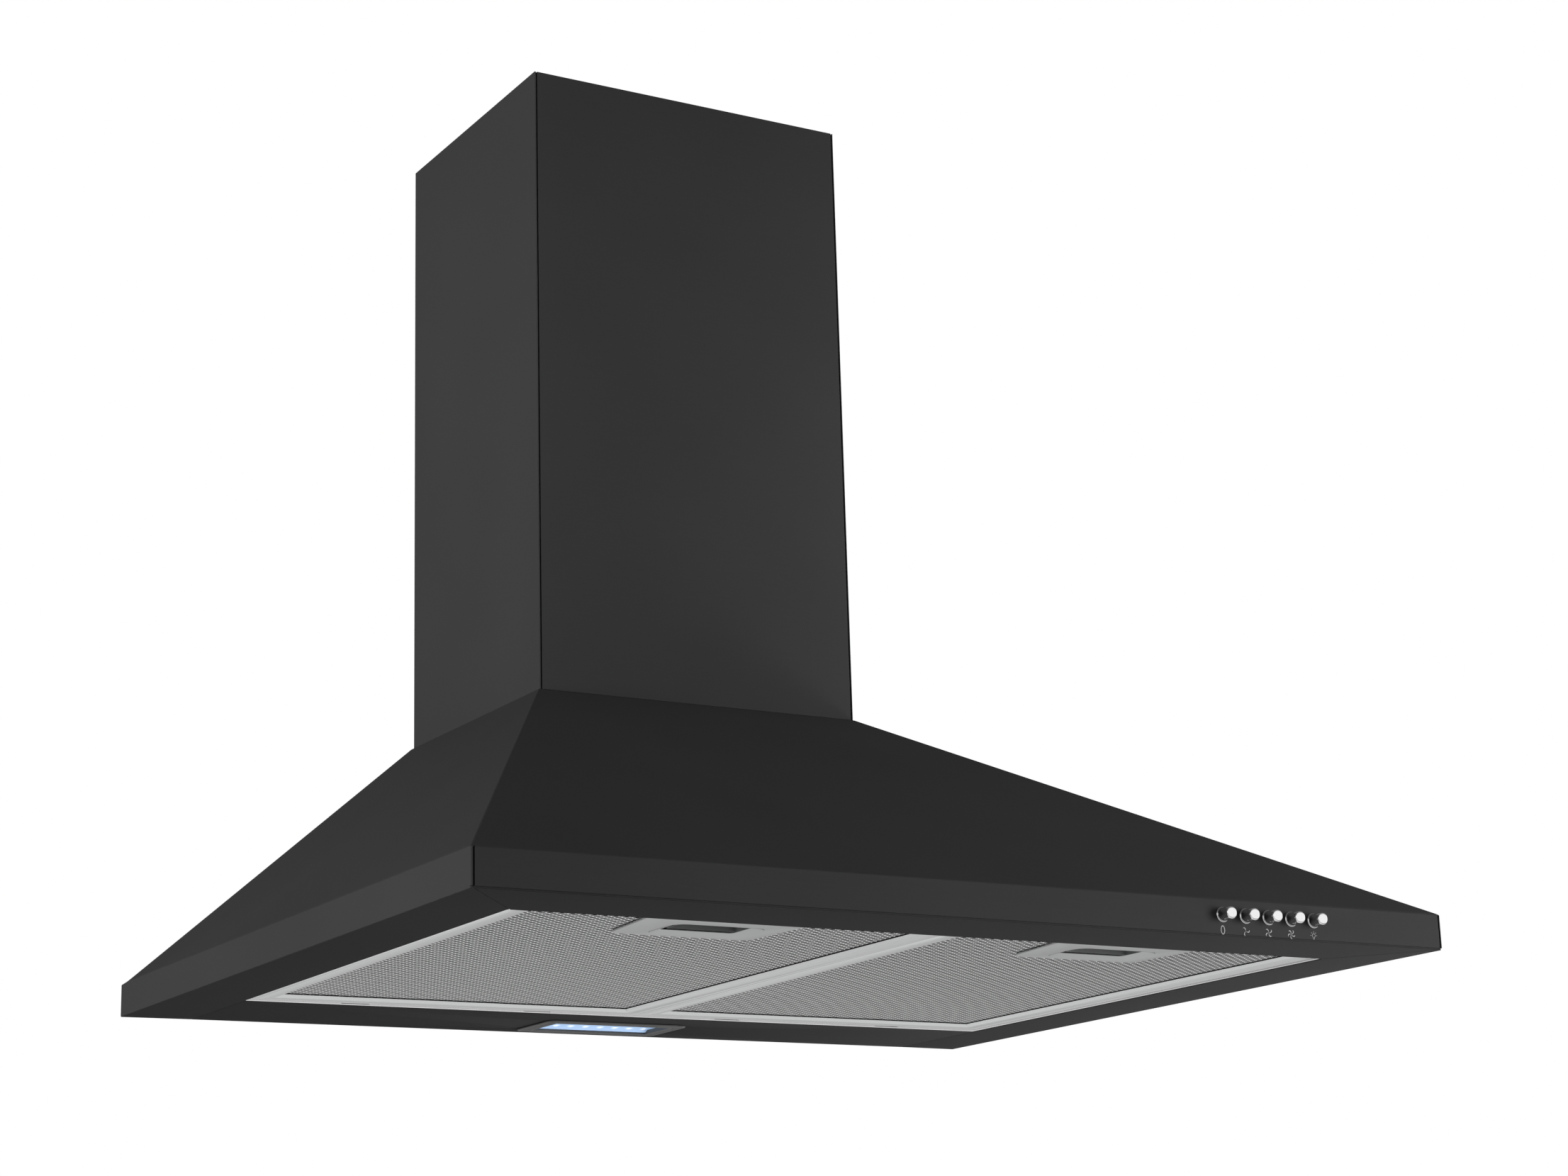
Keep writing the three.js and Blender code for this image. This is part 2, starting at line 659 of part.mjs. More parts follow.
// ---------------------------------------------------------------- lamp
function lampBezel() {
  const rim = prism(roundedRect(LAMP_LENGTH / 2, LAMP_WIDTH / 2, 5), -1.3, -GAP);
  const sleeve = prism(roundedRect(LENS_LENGTH / 2 + 1.6, LENS_WIDTH / 2 + 1.6, 2.6), -1, 8);
  const bore = prism(roundedRect(LENS_LENGTH / 2 + 0.4, LENS_WIDTH / 2 + 0.4, 1), -3, 10);
  return cut(join(rim, sleeve), bore);
}

function lampLens() {
  const points = [];
  for (const [z, inset] of [[0, 4], [1.6, 0], [2.6, 0]]) {
    for (const x of [-1, 1]) {
      for (const y of [-1, 1]) {
        const halfX = LENS_LENGTH / 2 - inset;
        const halfY = LENS_WIDTH / 2 - inset;
        points.push(new THREE.Vector3(x * halfX, y * halfY, z));
      }
    }
  }
  return solid(new ConvexGeometry(points));
}

function ledBoard() {
  let plate = box(-42, 42, -15, 15, 5, 6.2);
  for (let i = 0; i < LED_COUNT; i++) {
    const x = (i - (LED_COUNT - 1) / 2) * LED_PITCH;
    for (const y of [-LED_ROW, LED_ROW]) {
      const led = box(x - LED_HALF, x + LED_HALF, y - LED_HALF, y + LED_HALF, 4.2, 5.2);
      plate = join(plate, led);
    }
  }
  return plate;
}

function lampTray() {
  const insideX = TRAY_HALF - SHEET;
  const insideY = TRAY_DEPTH_HALF - SHEET;
  return cut(
    box(-TRAY_HALF, TRAY_HALF, -TRAY_DEPTH_HALF, TRAY_DEPTH_HALF, SHEET + GAP, TRAY_TOP),
    box(-insideX, insideX, -insideY, insideY, 0, TRAY_TOP - SHEET),
    rod('x', 4, 40, 60, 12).translate([0, 8, 9]),
  );
}

function lamp() {
  const group = new THREE.Group();
  group.add(
    piece('lamp_bezel', lampBezel(), plastic),
    piece('lamp_lens', lampLens(), clearPlastic),
    piece('led_board', ledBoard(), board),
    piece('lamp_tray', lampTray(), zinc),
  );
  group.position.set(LAMP_X, LAMP_Y, 0);
  return group;
}

// ---------------------------------------------------------------- blower
// The scroll's outline about the wheel's axis: u towards the wall, v up.
function scrollOutline(grow) {
  const points = [];
  const steps = 22;
  const startAngle = THREE.MathUtils.degToRad(55);
  const sweep = THREE.MathUtils.degToRad(235);
  for (let i = 0; i <= steps; i++) {
    const t = i / steps;
    const radius = THREE.MathUtils.lerp(SCROLL_START_R, SCROLL_END_R, t) + grow;
    const angle = startAngle - sweep * t;
    points.push([radius * Math.cos(angle), radius * Math.sin(angle)]);
  }
  const top = BLOWER_TOP - WHEEL_Z - grow;
  points.push([-SCROLL_END_R - grow, top], [SCROLL_START_R * 0.62 + grow, top]);
  return outlineOf(points);
}

function blowerHousing() {
  const outside = sidePrism(scrollOutline(0), -SCROLL_HALF, SCROLL_HALF);
  const inner = SCROLL_HALF - SCROLL_WALL;
  const inside = sidePrism(scrollOutline(-SCROLL_WALL), -inner, inner);
  const top = BLOWER_TOP - WHEEL_Z;
  const low = top - BLOWER_FLANGE;
  const flange = join(box(-86, 86, -82, 54, low, top), box(-60, 60, 50, 80, low, top));
  let housing = cut(
    join(outside, flange),
    inside,
    rod('x', INLET_R, -SCROLL_HALF - 2, SCROLL_HALF + 2, 24),
  );
  for (const x of [-SCREW_X, SCREW_X]) {
    for (const y of [SCREW_FRONT, SCREW_BACK]) {
      const hole = rod('z', SCREW_HOLE_R, low - 2, top + 2, 12);
      housing = cut(housing, hole.translate([x, y - WHEEL_Y, 0]));
    }
  }
  return housing;
}

function impeller() {
  const inner = WHEEL_R - 10;
  const ring = turned([
    [inner, -1], [WHEEL_R, -1], [WHEEL_R, 1], [inner, 1],
  ], 'x', 27);
  let wheel = join(
    rod('x', WHEEL_R, -1, 1, 27),
    ring.translate([-WHEEL_HALF + 1, 0, 0]),
    ring.translate([WHEEL_HALF - 1, 0, 0]),
    rod('x', 9, -8, 14, 16),
  );
  for (let i = 0; i < BLADES; i++) {
    const blade = new THREE.BoxGeometry(2 * WHEEL_HALF - 1, 8.6, 1.2);
    blade.rotateX(0.35);
    blade.translate(0, WHEEL_R - 5.2, 0);
    blade.rotateX((2 * Math.PI * i) / BLADES);
    wheel = join(wheel, solid(blade));
  }
  return cut(wheel, rod('x', SHAFT_R + 0.3, -10, 20, 16));
}

function motorBody() {
  return turned([
    [0, -62], [12, -62], [14, -60], [MOTOR_R - 2, -60], [MOTOR_R, -58], [MOTOR_R, -16],
    [MOTOR_R - 4, -12], [10, -12], [10, -9], [5, -9], [5, -11], [0, -11],
  ], 'x', 20);
}

function motorBracket() {
  const x0 = -SCROLL_HALF - GAP - 2;
  const x1 = -SCROLL_HALF - GAP;
  let bracket = turned([
    [INLET_R + 1, x0], [INLET_R + 9, x0], [INLET_R + 9, x1], [INLET_R + 1, x1],
  ], 'x', 24);
  bracket = join(bracket, turned([
    [MOTOR_R + GAP, x0], [MOTOR_R + 3, x0], [MOTOR_R + 3, x1 + 6], [MOTOR_R + GAP, x1 + 6],
  ], 'x', 20));
  for (let i = 0; i < 3; i++) {
    const arm = new THREE.BoxGeometry(2, 14, 8);
    arm.translate((x0 + x1) / 2, (MOTOR_R + INLET_R) / 2 + 2, 0);
    arm.rotateX((2 * Math.PI * i) / 3 + 0.5);
    bracket = join(bracket, solid(arm));
  }
  return bracket;
}

function blowerScrew() {
  const z = BLOWER_TOP - BLOWER_FLANGE;
  return turned([
    [0, z - 3.2], [2.6, z - 3.2], [4, z - 2], [4, z - GAP], [2, z - GAP], [2, z + 8], [0, z + 8],
  ], 'z', 12);
}

function blower() {
  const group = new THREE.Group();
  const wheelSet = new THREE.Group();
  wheelSet.add(
    piece('blower_housing', blowerHousing(), plastic),
    piece('impeller', impeller(), plastic),
    piece('motor_body', motorBody(), zinc),
    piece('motor_shaft', rod('x', SHAFT_R, -10.5, 16, 16), zinc),
    piece('motor_bracket', motorBracket(), zinc),
  );
  wheelSet.position.set(0, WHEEL_Y, WHEEL_Z);
  group.add(wheelSet);
  for (let i = 0; i < 4; i++) {
    const screw = piece(`blower_screw_${i + 1}`, blowerScrew(), zinc);
    screw.position.set(i % 2 ? SCREW_X : -SCREW_X, i < 2 ? SCREW_FRONT : SCREW_BACK, 0);
    group.add(screw);
  }
  return group;
}

// ---------------------------------------------------------------- outlet and its flaps
function outletSpigot() {
  const base = CANOPY_TOP - SHEET;
  const inner = SPIGOT_R - 1.5;
  const tube = turned([
    [inner - 5, base], [SPIGOT_R + 7, base], [SPIGOT_R + 7, base + 1.5], [SPIGOT_R, base + 1.5],
    [SPIGOT_R, SPIGOT_TOP], [inner, SPIGOT_TOP], [inner, FLAP_Z - 2], [inner - 4, FLAP_Z - 2],
    [inner - 4, FLAP_Z - 3.5], [inner, FLAP_Z - 3.5], [inner, base + 1.5], [inner - 5, base + 1.5],
  ], 'z', 30);
  return cut(tube, rod('x', PIN_BORE_R, -90, 90, 12).translate([0, 0, FLAP_Z]));
}

// Half disc hinged on the pin; side is -1 for the front flap and 1 for the rear one.
function flap(side) {
  const radius = SPIGOT_R - 2.5;
  const edge = 3.4;
  const low = FLAP_Z - 1.5;
  const high = FLAP_Z - 0.1;
  const disc = rod('z', radius, low, high, 32);
  const keep = side < 0 ? box(-90, 90, -90, -edge, 0, 300) : box(-90, 90, edge, 90, 0, 300);
  const knuckles = side < 0 ? [[-62, -34], [2, 30]] : [[-30, -2], [34, 62]];
  let leaf = disc.intersect(keep);
  for (const [x0, x1] of knuckles) {
    const arm = side < 0
      ? box(x0, x1, -edge - 1, 0, low, high)
      : box(x0, x1, 0, edge + 1, low, high);
    const barrel = rod('x', 2.6, x0, x1, 16).translate([0, 0, FLAP_Z]);
    leaf = join(leaf, arm, barrel);
  }
  return cut(leaf, rod('x', PIN_BORE_R, -90, 90, 12).translate([0, 0, FLAP_Z]));
}

function outlet() {
  const group = new THREE.Group();
  const pin = rod('x', 1.2, -SPIGOT_R - 1, SPIGOT_R + 1, 12).translate([0, 0, FLAP_Z]);
  group.add(
    piece('outlet_spigot', outletSpigot(), plastic),
    piece('front_flap', flap(-1), plastic),
    piece('rear_flap', flap(1), plastic),
    piece('flap_pin', pin, zinc),
  );
  group.position.y = SPIGOT_Y;
  return group;
}

// ---------------------------------------------------------------- electrics
function lead(name, points) {
  const curve = new THREE.CatmullRomCurve3(points.map((p) => new THREE.Vector3(...p)));
  const length = curve.getLength();
  return piece(name, wire(curve, LEAD_R, Math.round(length / 18), 6), plastic);
}

// Open towards the cook, where its lid closes it.
function terminalBox() {
  const inside = TERMINAL_HALF - BOX_WALL;
  return cut(
    box(-TERMINAL_HALF, TERMINAL_HALF, -TERMINAL_DEPTH, 0, 0, TERMINAL_HEIGHT),
    box(-inside, inside, -TERMINAL_DEPTH - 1, -BOX_WALL, BOX_WALL, TERMINAL_HEIGHT - BOX_WALL),
  );
}

function terminalLid() {
  const back = -TERMINAL_DEPTH - GAP;
  return box(-TERMINAL_HALF, TERMINAL_HALF, back - BOX_WALL, back, 0, TERMINAL_HEIGHT);
}

function capacitor() {
  const [r, end] = [CAPACITOR_R, CAPACITOR_LENGTH];
  return turned([[0, 0], [r - 1, 0], [r, 1], [r, end - 2], [r - 2, end], [0, end]], 'x', 24);
}

function electrics() {
  const group = new THREE.Group();
  const boxBack = -BACK_SHEET - GAP;
  const terminal = new THREE.Group();
  terminal.add(
    piece('terminal_box', terminalBox(), plastic),
    piece('terminal_box_lid', terminalLid(), plastic),
  );
  terminal.position.set(TERMINAL_X, boxBack, TERMINAL_Z);
  group.add(terminal);

  const capacitorMesh = piece('capacitor', capacitor(), whitePlastic);
  capacitorMesh.position.set(...CAPACITOR_AT);
  group.add(capacitorMesh);

  const gland = turned([
    [4, -6], [7.6, -6], [8, -5], [8, 3], [11, 3], [11, 7], [8, 7], [6, 12], [4, 12],
  ], 'z', 14);
  const glandMesh = piece('cable_gland', gland, plastic);
  glandMesh.position.set(GLAND_X, GLAND_Y, CANOPY_TOP - SHEET - GAP - 2.7);
  group.add(glandMesh);

  const floor = TERMINAL_Z - GAP; // the leads end just under the terminal box
  group.add(
    lead('switch_lead', [
      [217.7, -474, 11], [232, -474, 10], [262, -464, 7], [279, -440, 7], [280, -250, 7],
      [278, -60, 8], [262, -16, 12], [200, -14, 20], [184, -20, 34], [184, -20, floor],
    ]),
    lead('lamp_lead', [
      [LAMP_X + 52.4, LAMP_Y + 8, 9], [80, -30, 10], [120, -20, 18], [138, -20, 34],
      [138, -20, floor],
    ]),
    lead('motor_lead', [
      [-62.4, WHEEL_Y, WHEEL_Z], [-70, WHEEL_Y, WHEEL_Z], [-82, -60, 50], [-60, -14, 24],
      [60, -12, 24], [130, -14, 26], [160, -20, 36], [160, -20, floor],
    ]),
  );
  return group;
}

// ---------------------------------------------------------------- assembly
const hood = new THREE.Group();
hood.position.z = -HANG_HEIGHT;
hood.add(
  piece('canopy_shell', canopyShell(), steel),
  piece('back_plate', backPlate(), zinc),
  piece('lamp_panel', lampPanel(), steel),
  piece('filter_support_frame', filterSupportFrame(), zinc),
  piece('canopy_top_plate', canopyTopPlate(), zinc),
  piece('lower_chimney_cover', lowerChimneyCover(), steel),
  piece('upper_chimney_cover', upperChimneyCover(), steel),
  piece('upper_wall_bracket', upperWallBracket(), zinc),
  filterSet('left'),
  filterSet('right'),
  controls(),
  lamp(),
  blower(),
  outlet(),
  electrics(),
);

const rangeHood = new THREE.Group();
rangeHood.add(hood);

export default rangeHood;
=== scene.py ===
"""Looks of a wall-mounted chimney range hood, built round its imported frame.

Shapes are drawn in millimetres in the hood's own frame: z is measured up from the rim's bottom
edge, y = 0 is the wall and x = 0 the middle. Shape.mesh() moves them into the frame's metres.
"""
import logging
import math
from collections import Counter
from dataclasses import dataclass, field, fields
from enum import Enum
from typing import ClassVar, Iterable, Optional, Sequence, Union

import bmesh
import bpy
from mathutils import Matrix, Vector
from mathutils.kdtree import KDTree


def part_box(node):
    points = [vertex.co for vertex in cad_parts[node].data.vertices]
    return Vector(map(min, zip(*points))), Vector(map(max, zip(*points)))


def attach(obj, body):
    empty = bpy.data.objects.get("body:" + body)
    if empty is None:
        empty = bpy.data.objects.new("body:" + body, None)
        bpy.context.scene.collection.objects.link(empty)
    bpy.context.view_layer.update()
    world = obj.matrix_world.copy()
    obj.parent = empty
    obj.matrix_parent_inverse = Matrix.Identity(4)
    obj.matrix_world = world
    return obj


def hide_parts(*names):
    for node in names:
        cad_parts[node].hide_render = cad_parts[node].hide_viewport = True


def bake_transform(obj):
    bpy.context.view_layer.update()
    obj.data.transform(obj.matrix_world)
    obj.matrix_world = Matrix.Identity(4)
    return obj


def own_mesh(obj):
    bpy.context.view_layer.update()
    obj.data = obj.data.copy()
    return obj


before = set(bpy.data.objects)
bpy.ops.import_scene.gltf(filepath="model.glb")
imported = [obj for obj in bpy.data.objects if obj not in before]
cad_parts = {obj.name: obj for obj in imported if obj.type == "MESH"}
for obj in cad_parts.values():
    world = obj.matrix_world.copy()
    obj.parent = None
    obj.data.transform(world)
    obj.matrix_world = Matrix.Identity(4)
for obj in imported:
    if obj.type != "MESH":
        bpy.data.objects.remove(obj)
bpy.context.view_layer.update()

logging.basicConfig(level=logging.INFO, format="%(name)s %(message)s")
LOG = logging.getLogger("hood")

MM = 0.001
RIM_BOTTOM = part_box("canopy_shell")[0].z / MM
WELD = 0.002        # points nearer to each other than this many millimetres are one
TONGUE_AT = 60.0    # the filters' rear tongues lie this far from the filter's middle

Point2 = tuple[float, float]
Point3 = tuple[float, float, float]
Value = Union[
    float, int, bool, str, Sequence[float], bpy.types.Node, bpy.types.NodeSocket, bpy.types.ID]


# ---------------------------------------------------------------- measures from the frame
@dataclass(frozen=True)
class Block:
    """A node's box in millimetres, in the hood's own frame."""

    x0: float
    x1: float
    y0: float
    y1: float
    z0: float
    z1: float

    @property
    def centre(self) -> Vector:
        """The middle of the box."""
        return Vector((self.x0 + self.x1, self.y0 + self.y1, self.z0 + self.z1)) / 2

    @property
    def half(self) -> Point3:
        """Half the size of the box along x, y and z."""
        return (self.x1 - self.x0) / 2, (self.y1 - self.y0) / 2, (self.z1 - self.z0) / 2


def block(node: str) -> Block:
    """Measures a CAD node.

    Args:
        node: the node's name.

    Returns:
        Its box in millimetres, z from the rim's bottom edge.
    """
    low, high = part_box(node)
    low, high = low / MM, high / MM
    return Block(low.x, high.x, low.y, high.y, low.z - RIM_BOTTOM, high.z - RIM_BOTTOM)


def metres(x: float, y: float, z: float) -> Point3:
    """Turns a point of the hood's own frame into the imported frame's metres."""
    return x * MM, y * MM, (z + RIM_BOTTOM) * MM


def linked(name: str, data: bpy.types.ID) -> bpy.types.Object:
    """Makes an object at the origin and puts it into the scene.

    Args:
        name: the object's name.
        data: its mesh, curve, camera or lamp.

    Returns:
        The object.
    """
    made = bpy.data.objects.new(name, data)
    bpy.context.scene.collection.objects.link(made)
    return made


def clean(mesh: bpy.types.Mesh, weld: float) -> None:
    """Joins points that lie together and turns every face outwards.

    Args:
        mesh: the mesh that is changed.
        weld: points nearer than this, in the mesh's own unit, become one.
    """
    work = bmesh.new()
    work.from_mesh(mesh)
    bmesh.ops.remove_doubles(work, verts=work.verts, dist=weld)
    bmesh.ops.recalc_face_normals(work, faces=work.faces)
    work.to_mesh(mesh)
    work.free()


# ---------------------------------------------------------------- shapes
@dataclass
class Shape:
    """A mesh in millimetres that can be joined, moved and turned before it becomes a piece."""

    points: list[Vector] = field(default_factory=list)
    faces: list[tuple[int, ...]] = field(default_factory=list)

    def joined(self, *others: "Shape") -> "Shape":
        """Adds other shapes to this one.

        Args:
            others: the shapes to add.

        Returns:
            One shape that holds them all.
        """
        whole = Shape(list(self.points), list(self.faces))
        for other in others:
            start = len(whole.points)
            whole.points += other.points
            whole.faces += [tuple(start + i for i in face) for face in other.faces]
        return whole

    def moved(self, x: float = 0, y: float = 0, z: float = 0) -> "Shape":
        """This shape, moved by millimetres."""
        return Shape([p + Vector((x, y, z)) for p in self.points], list(self.faces))

    def turned(self, angle: float, axis: str) -> "Shape":
        """This shape, turned about an axis through the origin by degrees."""
        spin = Matrix.Rotation(math.radians(angle), 3, axis)
        return Shape([spin @ p for p in self.points], list(self.faces))

    def mirrored(self) -> "Shape":
        """This shape, mirrored left to right with its faces still pointing out."""
        flipped = [Vector((-p.x, p.y, p.z)) for p in self.points]
        return Shape(flipped, [tuple(reversed(face)) for face in self.faces])

    def mesh(self, name: str) -> bpy.types.Mesh:
        """Makes the mesh in metres, in the frame.

        Args:
            name: the mesh's name.

        Returns:
            A mesh whose faces point outwards.
        """
        made = bpy.data.meshes.new(name)
        made.from_pydata([metres(*p) for p in self.points], [], self.faces)
        clean(made, WELD * MM)
        return made


def shape_of(source: bpy.types.Object) -> Shape:
    """Reads an object, with its modifiers, back as a shape and removes it.

    Args:
        source: an object whose mesh is in millimetres.

    Returns:
        Its evaluated mesh as a shape.
    """
    bpy.context.view_layer.update()
    graph = bpy.context.evaluated_depsgraph_get()
    mesh = bpy.data.meshes.new_from_object(source.evaluated_get(graph), depsgraph=graph)
    made = Shape([v.co.copy() for v in mesh.vertices], [tuple(p.vertices) for p in mesh.polygons])
    bpy.data.objects.remove(source)
    bpy.data.meshes.remove(mesh)
    return made


def raw_object(shape: Shape, name: str = "work") -> bpy.types.Object:
    """Puts a shape into the scene in plain millimetres, for modifiers to work on.

    Args:
        shape: the shape.
        name: a name for the object and its mesh.

    Returns:
        The object, which shape_of() removes again.
    """
    mesh = bpy.data.meshes.new(name)
    mesh.from_pydata([tuple(p) for p in shape.points], [], shape.faces)
    clean(mesh, WELD)
    return linked(name, mesh)


def modified(shape: Shape, *steps: tuple[str, dict[str, object]]) -> Shape:
    """Puts a shape through modifiers.

    Args:
        shape: the shape to change.
        steps: modifier types, each with its settings.

    Returns:
        The changed shape.
    """
    work = raw_object(shape)
    for kind, settings in steps:
        modifier = work.modifiers.new(kind, kind)
        for name, value in settings.items():
            setattr(modifier, name, value)
    return shape_of(work)


def bevelled(shape: Shape, width: float, segments: int = 2, angle: float = 40) -> Shape:
    """Rounds the sharp edges of a shape.

    Args:
        shape: the shape.
        width: how far from the edge its round starts.
        segments: faces across the round.
        angle: edges that turn by more than this many degrees are rounded.

    Returns:
        The rounded shape.
    """
    settings = {
        "width": width, "segments": segments, "limit_method": "ANGLE",
        "angle_limit": math.radians(angle), "use_clamp_overlap": True,
    }
    return modified(shape, ("BEVEL", settings))


def boolean(shape: Shape, others: Iterable[Shape], operation: str = "DIFFERENCE") -> Shape:
    """Cuts or joins closed shapes.

    Args:
        shape: the shape that is kept.
        others: what is cut out of it or joined to it.
        operation: DIFFERENCE or UNION.

    Returns:
        The result.
    """
    tools = [raw_object(other, "tool") for other in others]
    work = raw_object(shape)
    for tool in tools:
        modifier = work.modifiers.new("cut", "BOOLEAN")
        modifier.object = tool
        modifier.operation = operation
        modifier.solver = "EXACT"
    made = shape_of(work)
    for tool in tools:
        bpy.data.objects.remove(tool)
    return made


def loft(loops: Sequence[Sequence[Vector]], closed: bool = False, ring: bool = True) -> Shape:
    """Joins loops of equally many points by bands of faces.

    Args:
        loops: the loops, in order.
        closed: whether the last loop joins the first; otherwise both ends are capped.
        ring: whether each loop closes on itself; an open one makes an open sheet.

    Returns:
        The lofted shape.
    """
    count = len(loops[0])
    points = [p for loop in loops for p in loop]
    faces: list[tuple[int, ...]] = []
    bands = len(loops) if closed else len(loops) - 1
    for band in range(bands):
        a, b = band * count, ((band + 1) % len(loops)) * count
        for i in range(count if ring else count - 1):
            j = (i + 1) % count
            faces.append((a + i, a + j, b + j, b + i))
    if ring and not closed:
        faces.append(tuple(reversed(range(count))))
        faces.append(tuple(range(len(points) - count, len(points))))
    return Shape(points, faces)


def rounded_loop(half_x: float, half_y: float, radius: float, z: float, steps: int = 4) -> list[Vector]:
    """Draws a rectangle with round corners about the origin.

    Args:
        half_x: half its width.
        half_y: half its depth.
        radius: radius of its corners.
        z: its height.
        steps: faces round each corner.

    Returns:
        Its points.
    """
    corners = ((1, -1, -90), (1, 1, 0), (-1, 1, 90), (-1, -1, 180))
    loop = []
    for sx, sy, start in corners:
        for i in range(steps + 1):
            angle = math.radians(start + 90 * i / steps)
            x = sx * (half_x - radius) + radius * math.cos(angle)
            y = sy * (half_y - radius) + radius * math.sin(angle)
            loop.append(Vector((x, y, z)))
    return loop


def rounded_stack(half_x: float, half_y: float, radius: float, profile: Sequence[Point2],
                  closed: bool = False, steps: int = 4) -> Shape:
    """Lofts rounded rectangles about the origin.

    Args:
        half_x: half the width of the rectangle at inset 0.
        half_y: half its depth.
        radius: its corner radius at inset 0.
        profile: (inset, z) of each loop.
        closed: whether the profile closes on itself, which leaves a hole in the middle.
        steps: faces round each corner.

    Returns:
        The lofted shape.
    """
    least = 0.15    # a corner never gets sharper than this radius
    loops = []
    for inset, z in profile:
        corner = max(radius - inset, least)
        loops.append(rounded_loop(half_x - inset, half_y - inset, corner, z, steps))
    return loft(loops, closed)


def lathe(profile: Sequence[Point2], axis: str, segments: int = 48, closed: bool = False) -> Shape:
    """Turns a profile about an axis through the origin.

    Args:
        profile: (radius, height along the axis) of each ring.
        axis: "X", "Y" or "Z".
        segments: faces round the axis.
        closed: whether the profile closes on itself, which leaves a bore.

    Returns:
        The turned shape.
    """
    pole = 0.02     # radius of the small face that closes a profile on the axis
    loops = []
    for radius, height in profile:
        radius = max(radius, pole)
        loop = []
        for i in range(segments):
            angle = 2 * math.pi * i / segments
            u, v = radius * math.cos(angle), radius * math.sin(angle)
            spot = {"X": (height, u, v), "Y": (v, height, u), "Z": (u, v, height)}[axis]
            loop.append(Vector(spot))
        loops.append(loop)
    return loft(loops, closed)


def cuboid(x0: float, x1: float, y0: float, y1: float, z0: float, z1: float) -> Shape:
    """A box between two corners, for cutters and for bodies that are rounded afterwards."""
    return prism(rectangle(x0, x1, y0, y1), z0, z1)


def rectangle(x0: float, x1: float, y0: float, y1: float) -> list[Point2]:
    """The corners of a rectangle, for outlines."""
    return [(x0, y0), (x1, y0), (x1, y1), (x0, y1)]


def prism(outline: Sequence[Point2], z0: float, z1: float) -> Shape:
    """A straight-sided body on an outline, from height z0 to height z1."""
    return loft([[Vector((x, y, z)) for x, y in outline] for z in (z0, z1)])


def plate(outlines: Sequence[Sequence[Point2]], z0: float, z1: float, bevel: float) -> Shape:
    """A flat plate with holes and softened edges.

    Args:
        outlines: the outer outline, then the holes.
        z0: height of its lower face.
        z1: height of its upper face.
        bevel: width of the softened edge.

    Returns:
        The plate.
    """
    body = prism(outlines[0], z0, z1)
    if outlines[1:]:
        body = boolean(body, [prism(hole, z0 - 1, z1 + 1) for hole in outlines[1:]])
    return bevelled(body, bevel) if bevel else body


def hemmed(sheet: Shape) -> Shape:
    """Closes the open rims of a two-faced sheet with upright walls.

    Args:
        sheet: a sheet whose lower and upper rims lie above each other.

    Returns:
        The closed sheet.
    """
    whole = shape_of(raw_object(sheet, "hem"))
    points = whole.points
    used = Counter(
        tuple(sorted(edge)) for face in whole.faces for edge in zip(face, (*face[1:], face[0])))
    rim = [edge for edge, count in used.items() if count == 1]
    heights = [points[index].z for edge in rim for index in edge]
    middle = (min(heights) + max(heights)) / 2
    upper = {index for edge in rim for index in edge if points[index].z > middle}
    tree = KDTree(len(upper))
    for index in upper:
        tree.insert(points[index], index)
    tree.balance()
    above = {index: tree.find(points[index])[1] for edge in rim for index in edge}
    walls = [(a, b, above[b], above[a]) for a, b in rim if a not in upper and b not in upper]
    return Shape(points, [*whole.faces, *walls])


def tube(points: Sequence[Vector], radius: float, sides: int = 3) -> Shape:
    """Draws a round wire through points, with closed ends.

    Args:
        points: its middle line.
        radius: its radius.
        sides: how round it is, as the curve's bevel resolution.

    Returns:
        The wire.
    """
    curve = bpy.data.curves.new("tube", "CURVE")
    curve.dimensions = "3D"
    curve.bevel_depth = radius
    curve.bevel_resolution = sides
    curve.use_fill_caps = True
    spline = curve.splines.new("POLY")
    spline.points.add(len(points) - 1)
    for spot, point in zip(spline.points, points):
        spot.co = (*point, 1)
    return shape_of(linked("tube", curve))


def helix(radius: float, y0: float, y1: float, turns: float, steps: int = 14) -> list[Vector]:
    """Draws a helix about the y axis.

    Args:
        radius: radius of its turns.
        y0: y of its first point.
        y1: y of its last point.
        turns: how many turns it has.
        steps: points in each turn.

    Returns:
        Its points.
    """
    count = int(turns * steps)
    spots = []
    for i in range(count + 1):
        angle = 2 * math.pi * turns * i / count
        y = y0 + (y1 - y0) * i / count
        spots.append(Vector((radius * math.cos(angle), y, radius * math.sin(angle))))
    return spots


# ---------------------------------------------------------------- node trees
def add_node(tree: bpy.types.NodeTree, kind: str, inputs: Optional[dict[Union[str, int], Value]] = None,
             **settings: object) -> bpy.types.Node:
    """Adds one node with its settings and links.

    Args:
        tree: the tree that the node goes into.
        kind: the node's type name.
        inputs: for each input, by name or number, a value, or the socket that is linked to it, or
            the node whose first output is.
        settings: the node's own properties.

    Returns:
        The new node.
    """
    made = tree.nodes.new(kind)
    for name, value in settings.items():
        setattr(made, name, value)
    for key, value in (inputs or {}).items():
        if isinstance(value, bpy.types.Node):
            value = value.outputs[0]
        if isinstance(value, bpy.types.NodeSocket):
            tree.links.new(value, made.inputs[key])
        else:
            made.inputs[key].default_value = value
    return made


